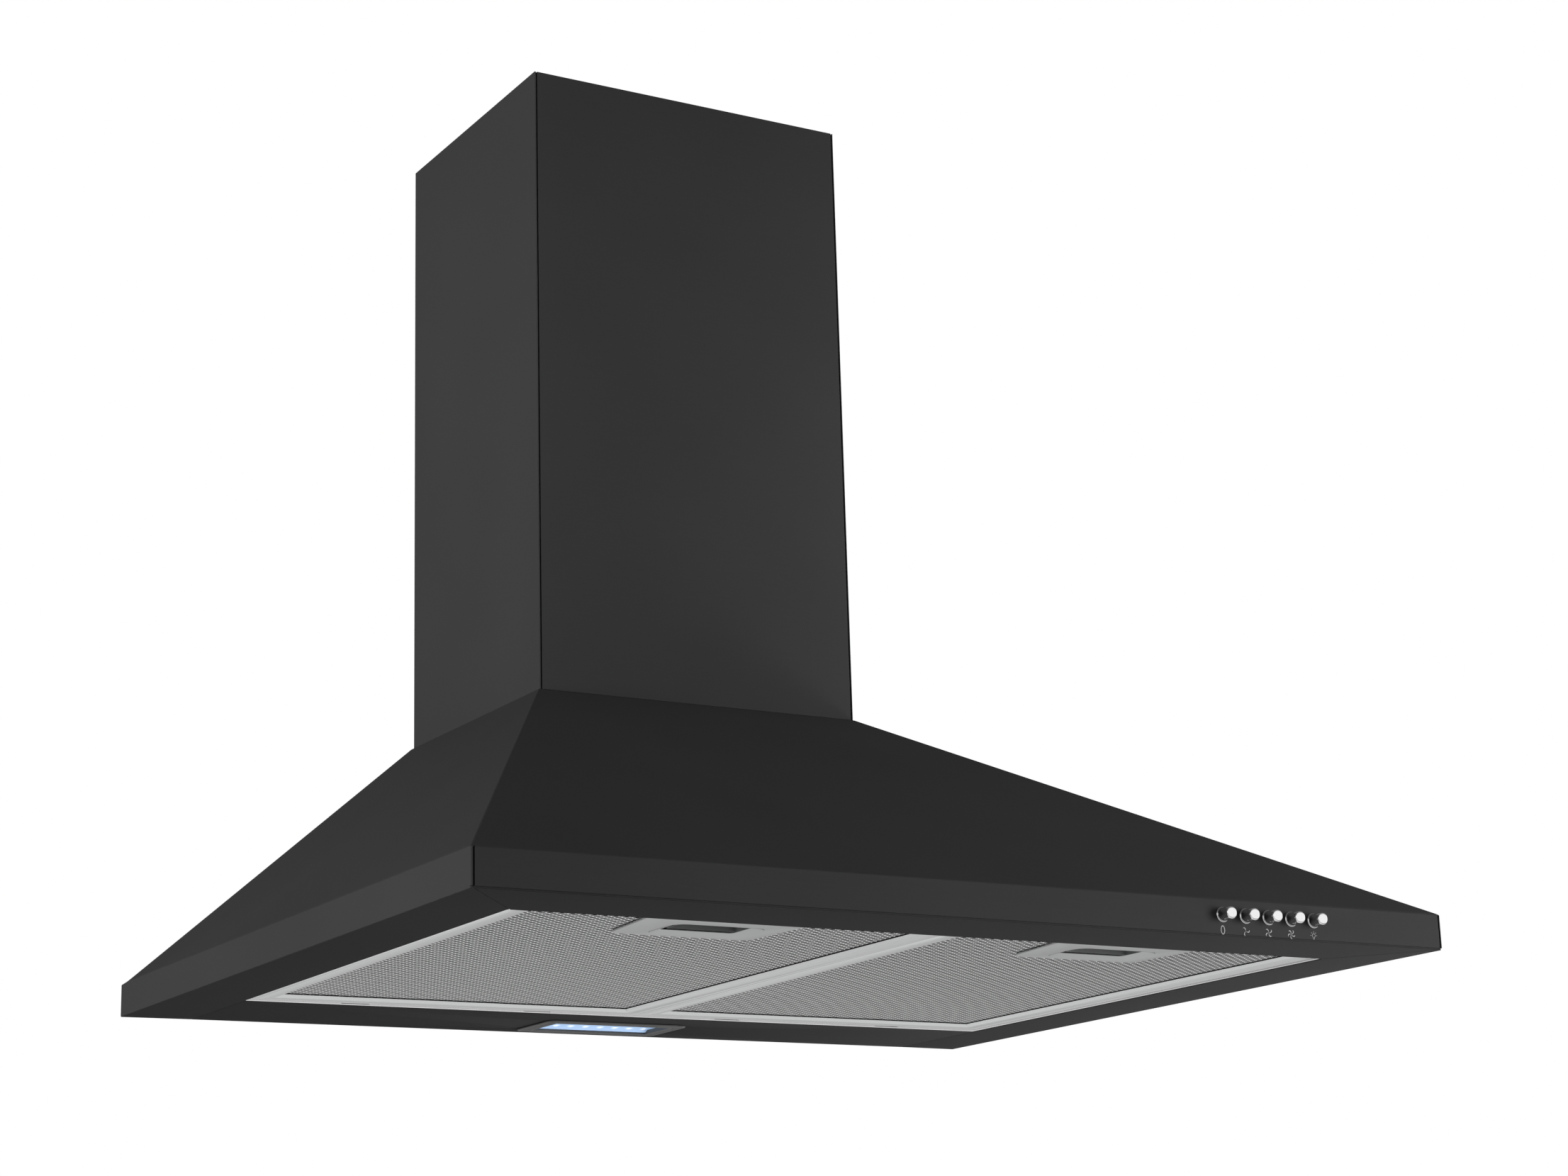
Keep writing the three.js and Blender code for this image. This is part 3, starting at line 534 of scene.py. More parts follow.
class PatternTree:
    """A geometry node tree that repeats a unit, with named inputs for its sizes."""

    def __init__(self, name: str, sockets: Sequence[tuple[str, str]]) -> None:
        """Makes the tree and its inputs.

        Args:
            name: the tree's name.
            sockets: (name, kind of value) of each input.
        """
        self.tree = bpy.data.node_groups.new(name, "GeometryNodeTree")
        self.sockets: dict[str, str] = {}
        for label, kind in (*sockets, ("Unit", "Object"), ("Finish", "Material")):
            socket = self.tree.interface.new_socket(
                name=label, in_out="INPUT", socket_type=f"NodeSocket{kind}")
            self.sockets[label] = socket.identifier
        self.tree.interface.new_socket(name="Geometry", in_out="OUTPUT", socket_type="NodeSocketGeometry")
        self.given = add_node(self.tree, "NodeGroupInput")
        self.unit = add_node(self.tree, "GeometryNodeObjectInfo", {"Object": self.given.outputs["Unit"]},
                             transform_space="ORIGINAL")

    def finish(self, instances: bpy.types.Node) -> None:
        """Ends the tree: the instances are made real and get their finish.

        Args:
            instances: the node that makes the instances.
        """
        real = add_node(self.tree, "GeometryNodeRealizeInstances", {0: instances})
        dressed = add_node(self.tree, "GeometryNodeSetMaterial",
                           {"Geometry": real, "Material": self.given.outputs["Finish"]})
        add_node(self.tree, "NodeGroupOutput", {0: dressed})

    def grow(self, unit: Shape, material: Optional[bpy.types.Material] = None,
             **values: Value) -> Shape:
        """Runs the tree on a unit.

        Args:
            unit: the shape that is repeated.
            material: its finish.
            values: the tree's other inputs, with _ for spaces.

        Returns:
            All the repeats as one plain shape.
        """
        source = raw_object(unit, "unit")
        host = raw_object(Shape(), "host")
        modifier = host.modifiers.new("pattern", "NODES")
        modifier.node_group = self.tree
        modifier[self.sockets["Unit"]] = source
        if material:
            modifier[self.sockets["Finish"]] = material
        for name, value in values.items():
            modifier[self.sockets[name.replace("_", " ")]] = value
        made = shape_of(host)
        bpy.data.objects.remove(source)
        return made


class RowTree(PatternTree):
    """Repeats a unit at equal steps along a line, each turned a little further."""

    def __init__(self) -> None:
        """Builds the tree."""
        super().__init__("row", [
            ("Count", "Int"), ("Start", "Vector"), ("Step", "Vector"), ("Turn", "Vector")])
        tree, given = self.tree, self.given
        line = add_node(tree, "GeometryNodeMeshLine", {
            "Count": given.outputs["Count"], "Start Location": given.outputs["Start"],
            "Offset": given.outputs["Step"]}, mode="OFFSET")
        index = add_node(tree, "GeometryNodeInputIndex")
        turn = add_node(tree, "ShaderNodeVectorMath", {
            0: given.outputs["Turn"], "Scale": index}, operation="SCALE")
        self.finish(add_node(tree, "GeometryNodeInstanceOnPoints", {
            "Points": line, "Instance": self.unit.outputs["Geometry"], "Rotation": turn}))


class ExpandedMetalTree(PatternTree):
    """Repeats one opening of expanded metal in staggered rows, and leaves a window free."""

    def __init__(self) -> None:
        """Builds the tree."""
        super().__init__("expanded metal", [
            ("Columns", "Int"), ("Rows", "Int"), ("Long Way", "Float"), ("Short Way", "Float"),
            ("Window Half", "Float"), ("Window Back", "Float")])
        tree, given = self.tree, self.given
        half_row = add_node(tree, "ShaderNodeMath", {
            0: given.outputs["Short Way"], 1: 0.5}, operation="MULTIPLY")
        spans = []
        for count, pitch in (("Columns", given.outputs["Long Way"]), ("Rows", half_row)):
            gaps = add_node(tree, "ShaderNodeMath", {0: given.outputs[count], 1: 1.0}, operation="SUBTRACT")
            spans.append(add_node(tree, "ShaderNodeMath", {0: gaps, 1: pitch}, operation="MULTIPLY"))
        grid = add_node(tree, "GeometryNodeMeshGrid", {
            "Size X": spans[0], "Size Y": spans[1], "Vertices X": given.outputs["Columns"],
            "Vertices Y": given.outputs["Rows"]})
        # even rows are moved a quarter of an opening to the left, and odd ones to the right
        place = add_node(tree, "ShaderNodeSeparateXYZ", {0: add_node(tree, "GeometryNodeInputPosition")})
        middle = add_node(tree, "ShaderNodeMath", {0: spans[1], 1: 0.5}, operation="MULTIPLY")
        from_front = add_node(tree, "ShaderNodeMath", {0: place.outputs["Y"], 1: middle}, operation="ADD")
        steps = add_node(tree, "ShaderNodeMath", {0: from_front, 1: half_row}, operation="DIVIDE")
        row = add_node(tree, "ShaderNodeMath", {0: steps}, operation="ROUND")
        odd = add_node(tree, "ShaderNodeMath", {0: row, 1: 2.0}, operation="FLOORED_MODULO")
        side = add_node(tree, "ShaderNodeMath", {0: odd, 1: 0.5}, operation="SUBTRACT")
        half_opening = add_node(tree, "ShaderNodeMath", {
            0: given.outputs["Long Way"], 1: 0.5}, operation="MULTIPLY")
        shift = add_node(tree, "ShaderNodeMath", {0: side, 1: half_opening}, operation="MULTIPLY")
        offset = add_node(tree, "ShaderNodeCombineXYZ", {"X": shift})
        staggered = add_node(tree, "GeometryNodeSetPosition", {"Geometry": grid, "Offset": offset})
        # an opening whose middle lies in the window at the front is left out
        off_middle = add_node(tree, "ShaderNodeMath", {0: place.outputs["X"]}, operation="ABSOLUTE")
        across = add_node(tree, "ShaderNodeMath", {
            0: off_middle, 1: given.outputs["Window Half"]}, operation="LESS_THAN")
        before = add_node(tree, "ShaderNodeMath", {
            0: place.outputs["Y"], 1: given.outputs["Window Back"]}, operation="LESS_THAN")
        hidden = add_node(tree, "ShaderNodeMath", {0: across, 1: before}, operation="MULTIPLY")
        kept = add_node(tree, "GeometryNodeDeleteGeometry", {
            "Geometry": staggered, "Selection": hidden}, domain="POINT")
        self.finish(add_node(tree, "GeometryNodeInstanceOnPoints", {
            "Points": kept, "Instance": self.unit.outputs["Geometry"]}))


# ---------------------------------------------------------------- finishes
def linear(code: str) -> tuple[float, float, float, float]:
    """Turns a colour into what the nodes want.

    Args:
        code: the sRGB colour as six hex digits.

    Returns:
        The linear colour, opaque.
    """
    channels = []
    for i in (0, 2, 4):
        value = int(code[i:i + 2], 16) / 255
        channels.append(value / 12.92 if value <= 0.04045 else ((value + 0.055) / 1.055) ** 2.4)
    return (*channels, 1.0)


class Grain(Enum):
    """What the small pattern on a surface looks like."""

    FINE = "fine"          # even, as on enamel or moulded plastic
    DRAWN = "drawn"        # long scratches along x, as on rolled sheet
    SPANGLE = "spangle"    # patches of crystal, as on zinc
    WOVEN = "woven"        # layers of crossed wire


@dataclass(frozen=True)
class Finish:
    """A surface: what it is made of, its colours and its small pattern."""

    name: str
    colour: str
    shade: str                  # the colour of the pattern's hollows
    roughness: tuple[float, float]
    grain: Grain
    grain_mm: float
    relief: float               # strength of the pattern's bump
    metallic: float = 0.0
    specular: float = 0.5
    slot: str = "black_steel"
    patch_mm: float = 90.0      # size of the slow patches
    depth_mm: float = 0.1       # depth of the pattern where relief is 1

    def pattern(self, tree: bpy.types.NodeTree) -> bpy.types.NodeSocket:
        """Adds the nodes of the small pattern.

        Args:
            tree: the material's tree.

        Returns:
            The socket that holds its strength from 0 to 1.
        """
        size = 1 / (self.grain_mm * MM)
        stretch = {Grain.DRAWN: (0.02, 1.0, 1.0)}.get(self.grain, (1.0, 1.0, 1.0))
        place = add_node(tree, "ShaderNodeTexCoord")
        scaled = add_node(tree, "ShaderNodeMapping", {
            "Vector": place.outputs["Object"], "Scale": tuple(size * s for s in stretch)})
        if self.grain is Grain.SPANGLE:
            cells = add_node(tree, "ShaderNodeTexVoronoi", {"Vector": scaled, "Scale": 1.0}, feature="F1")
            return add_node(tree, "ShaderNodeSeparateColor", {0: cells.outputs["Color"]}).outputs[0]
        if self.grain is Grain.WOVEN:
            waves = []
            for lean in (0.6, -0.6):
                leaning = add_node(tree, "ShaderNodeMapping", {"Vector": scaled, "Rotation": (0, 0, lean)})
                wave = add_node(tree, "ShaderNodeTexWave", {
                    "Vector": leaning, "Scale": 0.32, "Distortion": 0.4}, bands_direction="X")
                waves.append(wave.outputs["Fac"])
            crossed = add_node(tree, "ShaderNodeMath", {0: waves[0], 1: waves[1]}, operation="MULTIPLY")
            return crossed.outputs[0]
        noise = add_node(tree, "ShaderNodeTexNoise", {
            "Vector": scaled, "Scale": 1.0, "Detail": 3.0, "Roughness": 0.6})
        return noise.outputs["Fac"]

    def build(self) -> bpy.types.Material:
        """Makes the material.

        Returns:
            The material, ready to go into a slot.
        """
        material = bpy.data.materials.new(self.name)
        material.use_nodes = True
        tree = material.node_tree
        tree.nodes.clear()
        grain = self.pattern(tree)
        # slow patches keep a large sheet from looking flat
        place = add_node(tree, "ShaderNodeTexCoord")
        patches = add_node(tree, "ShaderNodeTexNoise", {
            "Vector": place.outputs["Object"], "Scale": 1 / (self.patch_mm * MM), "Detail": 1.0})
        both = add_node(tree, "ShaderNodeMath", {0: grain, 1: patches.outputs["Fac"]}, operation="ADD")
        mean = add_node(tree, "ShaderNodeMath", {0: both, 1: 0.5}, operation="MULTIPLY")
        colour = add_node(tree, "ShaderNodeMix", {
            "Factor": mean, 6: linear(self.shade), 7: linear(self.colour)}, data_type="RGBA")
        rough = add_node(tree, "ShaderNodeMapRange", {
            "Value": grain, "To Min": self.roughness[0], "To Max": self.roughness[1]})
        bump = add_node(tree, "ShaderNodeBump", {
            "Height": grain, "Strength": self.relief, "Distance": self.depth_mm * MM})
        shader = add_node(tree, "ShaderNodeBsdfPrincipled", {
            "Base Color": colour.outputs[2], "Roughness": rough, "Normal": bump,
            "Metallic": self.metallic, "Specular IOR Level": self.specular})
        add_node(tree, "ShaderNodeOutputMaterial", {"Surface": shader})
        return material


@dataclass(frozen=True)
class GlowingLens(Finish):
    """Frosted polycarbonate with two rows of bright spots where the LEDs shine through."""

    centre: Point2 = (0.0, 0.0)
    led_pitch: float = 10.5     # from one LED to the next
    led_row: float = 11.5       # from the middle line to each row
    spot: float = 3.4           # radius of a bright spot
    dim: float = 0.5            # strength of the glow between the spots
    bright: float = 1.1         # strength of the glow in a spot

    def build(self) -> bpy.types.Material:
        """Makes the material with its glow.

        Returns:
            The material, ready to go into a slot.
        """
        material = super().build()
        tree = material.node_tree
        shader = next(n for n in tree.nodes if n.type == "BSDF_PRINCIPLED")
        place = add_node(tree, "ShaderNodeTexCoord")
        local = add_node(tree, "ShaderNodeMapping", {
            "Vector": place.outputs["Object"],
            "Location": (-self.centre[0] * MM, -self.centre[1] * MM, 0.0)})
        parts = add_node(tree, "ShaderNodeSeparateXYZ", {0: local})
        pitch = self.led_pitch * MM
        # 40.5 steps bring every x above 0, and put the lens's middle between two LEDs
        ahead = add_node(tree, "ShaderNodeMath", {0: parts.outputs["X"], 1: pitch * 40.5}, operation="ADD")
        along = add_node(tree, "ShaderNodeMath", {0: ahead, 1: pitch / 2}, operation="PINGPONG")
        from_middle = add_node(tree, "ShaderNodeMath", {0: parts.outputs["Y"]}, operation="ABSOLUTE")
        across = add_node(tree, "ShaderNodeMath", {
            0: from_middle, 1: self.led_row * MM}, operation="SUBTRACT")
        flat = add_node(tree, "ShaderNodeCombineXYZ", {"X": along, "Y": across})
        distance = add_node(tree, "ShaderNodeVectorMath", {0: flat}, operation="LENGTH")
        glow = add_node(tree, "ShaderNodeMapRange", {
            "Value": distance.outputs["Value"], "From Min": 0.0, "From Max": self.spot * MM,
            "To Min": 1.0, "To Max": 0.0}, interpolation_type="SMOOTHSTEP")
        colour = add_node(tree, "ShaderNodeMix", {
            "Factor": glow, 6: linear("9FBFE6"), 7: linear("FFFFFF")}, data_type="RGBA")
        strength = add_node(tree, "ShaderNodeMapRange", {
            "Value": glow, "To Min": self.dim, "To Max": self.bright})
        tree.links.new(colour.outputs[2], shader.inputs["Emission Color"])
        tree.links.new(strength.outputs[0], shader.inputs["Emission Strength"])
        return material


class Finishes:
    """Every finish of the hood, made once."""

    def __init__(self) -> None:
        """Builds the materials."""
        lens_at = block("lamp_lens").centre
        kinds = [
            # Mild steel sheet with stoved satin enamel: near-black, dull, with a faint drawn grain.
            Finish("satin_black_enamel", "3A3A3A", "333333", (0.74, 0.8), Grain.DRAWN, 0.35, 0.05,
                   specular=0.02),
            # Rolled aluminium sheet of the filter frames: pale, soft, drawn along its length.
            Finish("rolled_aluminium", "F0F1F1", "E4E5E5", (0.3, 0.42), Grain.DRAWN, 0.3, 0.08,
                   metallic=1.0, slot="filter_aluminium"),
            # Pressed aluminium plate with a satin finish, a little darker than the rolled frames.
            Finish("satin_aluminium", "C9CACA", "BDBEBE", (0.4, 0.5), Grain.FINE, 0.45, 0.12,
                   metallic=1.0, slot="filter_aluminium"),
            # Bright-rolled aluminium bead round the filter opening.
            Finish("bright_aluminium", "FBFBFB", "F4F4F4", (0.2, 0.3), Grain.DRAWN, 0.3, 0.05,
                   metallic=1.0, slot="filter_aluminium"),
            # Cast zinc of the finger cups, coloured a dull dark grey as painted shade: the grey stands for
            # the shade in the dish.
            Finish("cast_zinc_painted_shade", "545556", "484949", (0.45, 0.6), Grain.FINE, 0.4, 0.1,
                   specular=0.25, slot="filter_aluminium"),
            # Expanded aluminium: slit and stretched sheet, bright where it is torn.
            Finish("expanded_aluminium", "FAFBFA", "F0F1F0", (0.35, 0.5), Grain.FINE, 0.5, 0.1,
                   metallic=1.0, slot="filter_aluminium"),
            # Layers of knitted aluminium inside the filter, coloured near-black as painted shade for the
            # light that is lost in them.
            Finish("knitted_aluminium_painted_shade", "1C1C1C", "050505", (0.8, 0.95), Grain.WOVEN, 1.0, 0.6,
                   specular=0.05, slot="filter_aluminium"),
            # Hot-dip galvanised steel: cool grey crystals a few millimetres across.
            Finish("galvanised_steel", "A9ADB0", "92979A", (0.35, 0.5), Grain.SPANGLE, 4.0, 0.03,
                   metallic=0.9, slot="plated_steel"),
            # Zinc-plated springs, pins and screws: brighter and finer than the sheet.
            Finish("zinc_plate", "C3C5C6", "A5A8AA", (0.25, 0.35), Grain.FINE, 0.3, 0.05,
                   metallic=1.0, slot="plated_steel"),
            # Chromium on moulded ABS: a mirror with the faintest waviness.
            Finish("chrome_plate", "F2F2F2", "E8E8E8", (0.05, 0.09), Grain.FINE, 1.2, 0.02,
                   metallic=1.0, slot="chrome"),
            # Moulded black polypropylene: matt, with a spark-eroded grain.
            Finish("moulded_black_plastic", "242527", "1B1C1E", (0.5, 0.62), Grain.FINE, 0.4, 0.15,
                   slot="black_plastic"),
            # Moulded dark grey ABS of the lamp surround.
            Finish("moulded_grey_plastic", "4A4A49", "3A3A3A", (0.4, 0.5), Grain.FINE, 0.35, 0.15,
                   slot="grey_plastic"),
            # White nylon and polyester cans of small electrical parts.
            Finish("moulded_white_plastic", "E4E4DF", "D8D8D2", (0.35, 0.45), Grain.FINE, 0.4, 0.06,
                   slot="white_plastic"),
            # Glass-fibre board under white solder mask.
            Finish("solder_mask", "ECEFF0", "DCE0E2", (0.35, 0.5), Grain.FINE, 0.5, 0.05,
                   slot="circuit_board"),
            # PVC of the leads: soft, slightly waxy grey.
            Finish("grey_pvc", "5A5C5E", "4C4E50", (0.4, 0.5), Grain.FINE, 0.4, 0.05,
                   slot="black_plastic"),
            # Printed marks: pale grey screen ink.
            Finish("screen_ink", "9C9C9C", "929292", (0.5, 0.6), Grain.FINE, 0.3, 0.02,
                   slot="black_steel"),
            GlowingLens("frosted_polycarbonate", "AFC8E8", "9DBBE0", (0.25, 0.35), Grain.FINE, 0.5, 0.03,
                        slot="lamp_lens", centre=(lens_at.x, lens_at.y)),
        ]
        self.specs = {kind.name: kind for kind in kinds}
        self.materials = {kind.name: kind.build() for kind in kinds}


# ---------------------------------------------------------------- the workshop
class Workshop:
    """Turns shapes into pieces and dresses the CAD's own nodes."""

    cad_weld: ClassVar[float] = 0.004   # points of a CAD node nearer than this are one
    flat_angle: ClassVar[float] = 1.0   # faces that differ by fewer degrees become one
    edge_angle: ClassVar[float] = 50.0  # edges that turn by more degrees are softened

    def __init__(self) -> None:
        """Makes the finishes and the pattern trees."""
        self.finishes = Finishes()
        self.row = RowTree()
        self.expanded_metal = ExpandedMetalTree()

    def piece(self, name: str, shape: Shape, finish: str, body: str,
              replaces: Sequence[str] = (), smooth: float = 35,
              stretch: Optional[tuple[str, Point3, Point3]] = None) -> bpy.types.Object:
        """Adds a piece to the hood.

        Args:
            name: the piece's name.
            shape: its shape in millimetres.
            finish: the name of its finish.
            body: the CAD body that it rides on.
            replaces: the CAD nodes that it stands for.
            smooth: edges flatter than this many degrees are shaded smooth.
            stretch: a second body and the two ends of a stretch, which are not used; when it is given, the
                piece is not attached to its body.

        Returns:
            The object.
        """
        mesh = shape.mesh(name)
        mesh.materials.append(self.finishes.materials[finish])
        mesh.shade_smooth()
        mesh.set_sharp_from_angle(angle=math.radians(smooth))
        made = linked(name, mesh)
        if stretch:
            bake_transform(made)
        else:
            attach(made, body)
        if replaces:
            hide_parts(*replaces)
        LOG.info("%s: %d faces on %s", name, len(mesh.polygons), body)
        return made

    def dress(self, node: str, finish: str, edge: float = 0.25) -> None:
        """Gives a CAD node its finish and softens its edges.

        Args:
            node: the node's name.
            finish: the name of its finish.
            edge: width of the softened edge in millimetres; 0 leaves the edges as they are.
        """
        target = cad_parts[node]
        target.data.materials.clear()
        target.data.materials.append(self.finishes.materials[finish])
        if edge:
            weld = target.modifiers.new("weld", "WELD")
            weld.merge_threshold = self.cad_weld * MM
            flat = target.modifiers.new("flat", "DECIMATE")
            flat.decimate_type = "DISSOLVE"
            flat.angle_limit = math.radians(self.flat_angle)
            soft = target.modifiers.new("soft", "BEVEL")
            soft.width = edge * MM
            soft.segments = 2
            soft.limit_method = "ANGLE"
            soft.angle_limit = math.radians(self.edge_angle)
        LOG.info("%s: CAD node in %s", node, finish)


# ---------------------------------------------------------------- folded sheet
@dataclass(frozen=True)
class Station:
    """One line of a three-sided folded sheet: its plan, its front corners and its fold."""

    half: float
    front: float
    back: float
    z: float
    radius: float = 1.0
    notch: float = 0.0      # depth of the dark joint beside each front corner
    lift: float = 0.0       # the same joint where the sheet lies flat, as a rise
    bend: float = 0.3       # how far each side of the fold its round starts

    def mixed(self, other: "Station", t: float) -> "Station":
        """The station a part of the way to another one."""
        sizes = [(getattr(self, size.name), getattr(other, size.name)) for size in fields(self)]
        return Station(*(a * (1 - t) + b * t for a, b in sizes))

    def distance(self, other: "Station") -> float:
        """How far away another station is, seen from the side."""
        return math.hypot(self.front - other.front, self.z - other.z)

    def path(self) -> list[Vector]:
        """Draws the plan of the sheet at this station.

        Returns:
            Points from the left back corner round the front to the right back corner.
        """
        left = [Vector((-self.half, self.back, self.z))]
        for dx, dy, rise in corner_profile(self.radius, self.notch, self.lift):
            left.append(Vector((-self.half + dx, self.front + dy, self.z + rise)))
        return left + [Vector((-p.x, p.y, p.z)) for p in reversed(left)]


def corner_profile(radius: float, notch: float, lift: float = 0.0, width: float = 0.95,
                   steps: int = 4) -> list[Point3]:
    """Draws a sheet's front left corner: its round, then the joint beside it.

    Args:
        radius: radius of the round.
        notch: depth of the joint, 0 for none.
        lift: rise of the joint on a level sheet.
        width: width of the joint.
        steps: faces round the corner.

    Returns:
        Distances from the left face and from the front face, and the rise, of each point.
    """
    points = []
    for i in range(steps + 1):
        angle = math.radians(90 * i / steps)
        points.append((radius - radius * math.cos(angle), radius - radius * math.sin(angle), 0.0))
    for dx, share in ((0.08, 0), (0.13, 1), (width, 1), (width + 0.05, 0)):
        points.append((radius + dx, notch * share, lift * share))
    return points


def softened(stations: Sequence[Station], steps: int = 3) -> list[Station]:
    """Rounds the folds between stations.

    Args:
        stations: the sharp profile.
        steps: faces across each fold.

    Returns:
        The profile with its folds rounded.
    """
    result = [stations[0]]
    for before, corner, after in zip(stations, stations[1:], stations[2:]):
        a = corner.mixed(before, min(corner.bend / corner.distance(before), 0.45))
        b = corner.mixed(after, min(corner.bend / corner.distance(after), 0.45))
        for i in range(steps + 1):
            t = i / steps
            result.append(a.mixed(corner, t).mixed(corner.mixed(b, t), t))
    result.append(stations[-1])
    return result


def folded(outer: Sequence[Station], inner: Sequence[Station]) -> Shape:
    """Folds a three-sided sheet with its real thickness.

    Args:
        outer: the stations of its outer face.
        inner: the stations of its inner face, in the same direction.

    Returns:
        The closed sheet.
    """
    around = [*outer, *reversed(inner)]
    shape = loft([station.path() for station in around], closed=True, ring=False)
    points, count = shape.points, len(outer[0].path())
    # triangles close both back edges of the sheet, always across the shorter gap
    for column in (0, count - 1):
        near, far = 0, len(around) - 1
        while near < len(outer) - 1 or far > len(outer):
            a, b = near * count + column, far * count + column
            step_near = step_far = math.inf
            if near < len(outer) - 1:
                step_near = (points[a + count] - points[b]).length
            if far > len(outer):
                step_far = (points[b - count] - points[a]).length
            if step_near < step_far:
                shape.faces.append((a, a + count, b))
                near += 1
            else:
                shape.faces.append((a, b - count, b))
                far -= 1
    return shape


# ---------------------------------------------------------------- sub-assemblies
@dataclass
class Canopy:
    """The pyramid with its rim, its underside flange and what is fixed to it."""

    shop: Workshop
    sheet: float = 1.0
    rim: float = 20.0
    opening_half: float = 256.5
    opening_front: float = -448.0
    seat_back: float = -90.3    # y of the rear end of the filters' seat
    top_half: float = 110.8
    top_front: float = -187.8
    ledge: float = 8.8
    slope_back: float = -10.8
    seam: float = 1.1           # depth of the fine line under the front face
    seam_height: float = 0.75
    joint: float = 1.4          # depth of the dark joint beside each upright corner
    mitre: float = 0.35         # depth of the mitre lines in the flange
    rim_bend: float = 2.6
    button_hole: float = 4.05   # radius of the buttons' holes

    def shell(self) -> None:
        """Folds the pyramid and the rim from one sheet, with the buttons' holes in it."""
        box = block("canopy_shell")
        half, front, top = box.x1, box.y0, box.z1
        seam, rise, t = self.seam, self.seam_height, self.sheet
        opening = (self.opening_half, self.opening_front, -1.6)
        ledge = (self.top_half - self.ledge, self.top_front + self.ledge, 0)
        wall = t + 0.4
        outer = [
            Station(*opening, 0, 0.6, 0, self.mitre),
            Station(half - 0.4, front + 0.4, 0, 0, 0.8, 0, self.mitre),
            Station(half, front + seam, 0, 0.3, bend=0.1),
            Station(half, front + seam, 0, 0.3 + rise, bend=0.1),
            Station(half, front, 0, 0.4 + rise, 1.0, self.joint, bend=0.15),
            Station(half, front, 0, self.rim - 0.8, 1.0, self.joint, bend=0.2),
            Station(half, front, self.slope_back, self.rim, 1.2, bend=self.rim_bend),
            Station(self.top_half, self.top_front, 0, top, 1.0),
            Station(*ledge, top, 0.8),
        ]
        inner = [
            Station(*opening, t, 0.6),
            Station(half - wall, front + wall, 0, t, 2.2, bend=0.1),
            Station(half - wall, front + wall, self.slope_back, self.rim - t, 2.2, bend=0.1),
            Station(self.top_half - 0.8, self.top_front + 0.7, 0, top - t, 1.5),
            Station(*ledge, top - t, 0.8),
        ]
        shell = folded(softened(outer), inner)
        holes = []
        for name in PushButtons.names:
            at = block(f"{name}_button").centre
            drill = lathe([(self.button_hole, front - 3), (self.button_hole, front + 3)], "Y", 40)
            holes.append(drill.moved(at.x, 0, at.z))
        shell = boolean(shell, holes)
        returns = [self.rear_return(half, top)]
        returns.append(returns[0].mirrored())
        self.shop.piece("canopy_folded", shell.joined(*returns), "satin_black_enamel", "hood",
                        ["canopy_shell"], 30)

    def rear_return(self, half: float, top: float) -> Shape:
        """Makes the narrow strip that closes the gap between the right slope and the wall.

        Args:
            half: half the width of the canopy.
            top: height of its top.

        Returns:
            The right strip.
        """
        loops = []
        for up in (0.02, 0.5, 0.86):
            x = half - (half - self.top_half) * up - 1.3
            y = self.slope_back * (1 - up) - 0.3
            z = self.rim + (top - self.rim) * up
            width = 14 * (1 - up)
            plan = [(x, y), (x - width, y), (x - width, y - 1), (x, y - 1)]
            loops.append([Vector((*corner, z)) for corner in plan])
        return loft(loops)

    def lamp_panel(self) -> None:
        """Makes the strip behind the filters, with its upstand and the lamp's cut-out."""
        box, lens = block("lamp_panel"), block("lamp_lens")
        half_x, half_y, _ = lens.half
        hole = rounded_loop(half_x + 2, half_y + 2, 3.0, 0)
        cutout = [(p.x + lens.centre.x, p.y + lens.centre.y) for p in hole]
        strip = plate([rectangle(box.x0, box.x1, box.y0, box.y1), cutout], 0.0, self.sheet, 0.25)
        upstand = bevelled(cuboid(box.x0, box.x1, box.y1 - self.sheet, box.y1, 0.6, box.z1), 0.2)
        self.shop.piece("lamp_panel_pressed", strip.joined(upstand), "satin_black_enamel", "hood",
                        ["lamp_panel"])

    def edge_bead(self) -> None:
        """Makes the pale rolled bead that the filters sit in, with its ledge and middle bar."""
        edge_x, front, back = self.opening_half - 0.3, self.opening_front + 0.3, self.seat_back
        wall = [(0.0, 1.2), (0.15, 0.55), (0.75, 0.3), (1.35, 0.55), (1.5, 1.2), (1.5, 9.6), (8.0, 9.6),
                (8.0, 10.6), (0.0, 10.6)]
        bead = rounded_stack(edge_x, (back - front) / 2, 0.6, wall, closed=True, steps=2)
        bead = bead.moved(y=(front + back) / 2)
        cutters = []
        for side in ("left", "right"):
            middle = block(f"{side}_filter_frame").centre.x
            for x in (middle - TONGUE_AT, middle + TONGUE_AT):
                cutters.append(cuboid(x - 9, x + 9, back - 4, back + 2, 0.9, 9.2))
            cutters.append(cuboid(middle - 9, middle + 9, front - 1, front + 3, 4, 9.2))
        bead = boolean(bead, cutters)
        around = rectangle(-edge_x - 6, edge_x + 6, front - 6, back)
        inside = rectangle(-edge_x - 0.1, edge_x + 0.1, front - 0.1, back - 0.2)
        foot = plate([around, inside], 1.3, 2.3, 0.15)
        bar = bevelled(cuboid(-9, 9, front + 1.6, back - 1.6, 9.65, 10.55), 0.2)
        self.shop.piece("filter_seat_frame", bead.joined(foot, bar), "bright_aluminium", "hood",
                        ["filter_support_frame"])

    def build(self) -> None:
        """Builds the canopy and dresses its plates."""
        self.shell()
        self.lamp_panel()
        self.edge_bead()
        self.shop.dress("back_plate", "galvanised_steel")
        self.shop.dress("canopy_top_plate", "galvanised_steel")


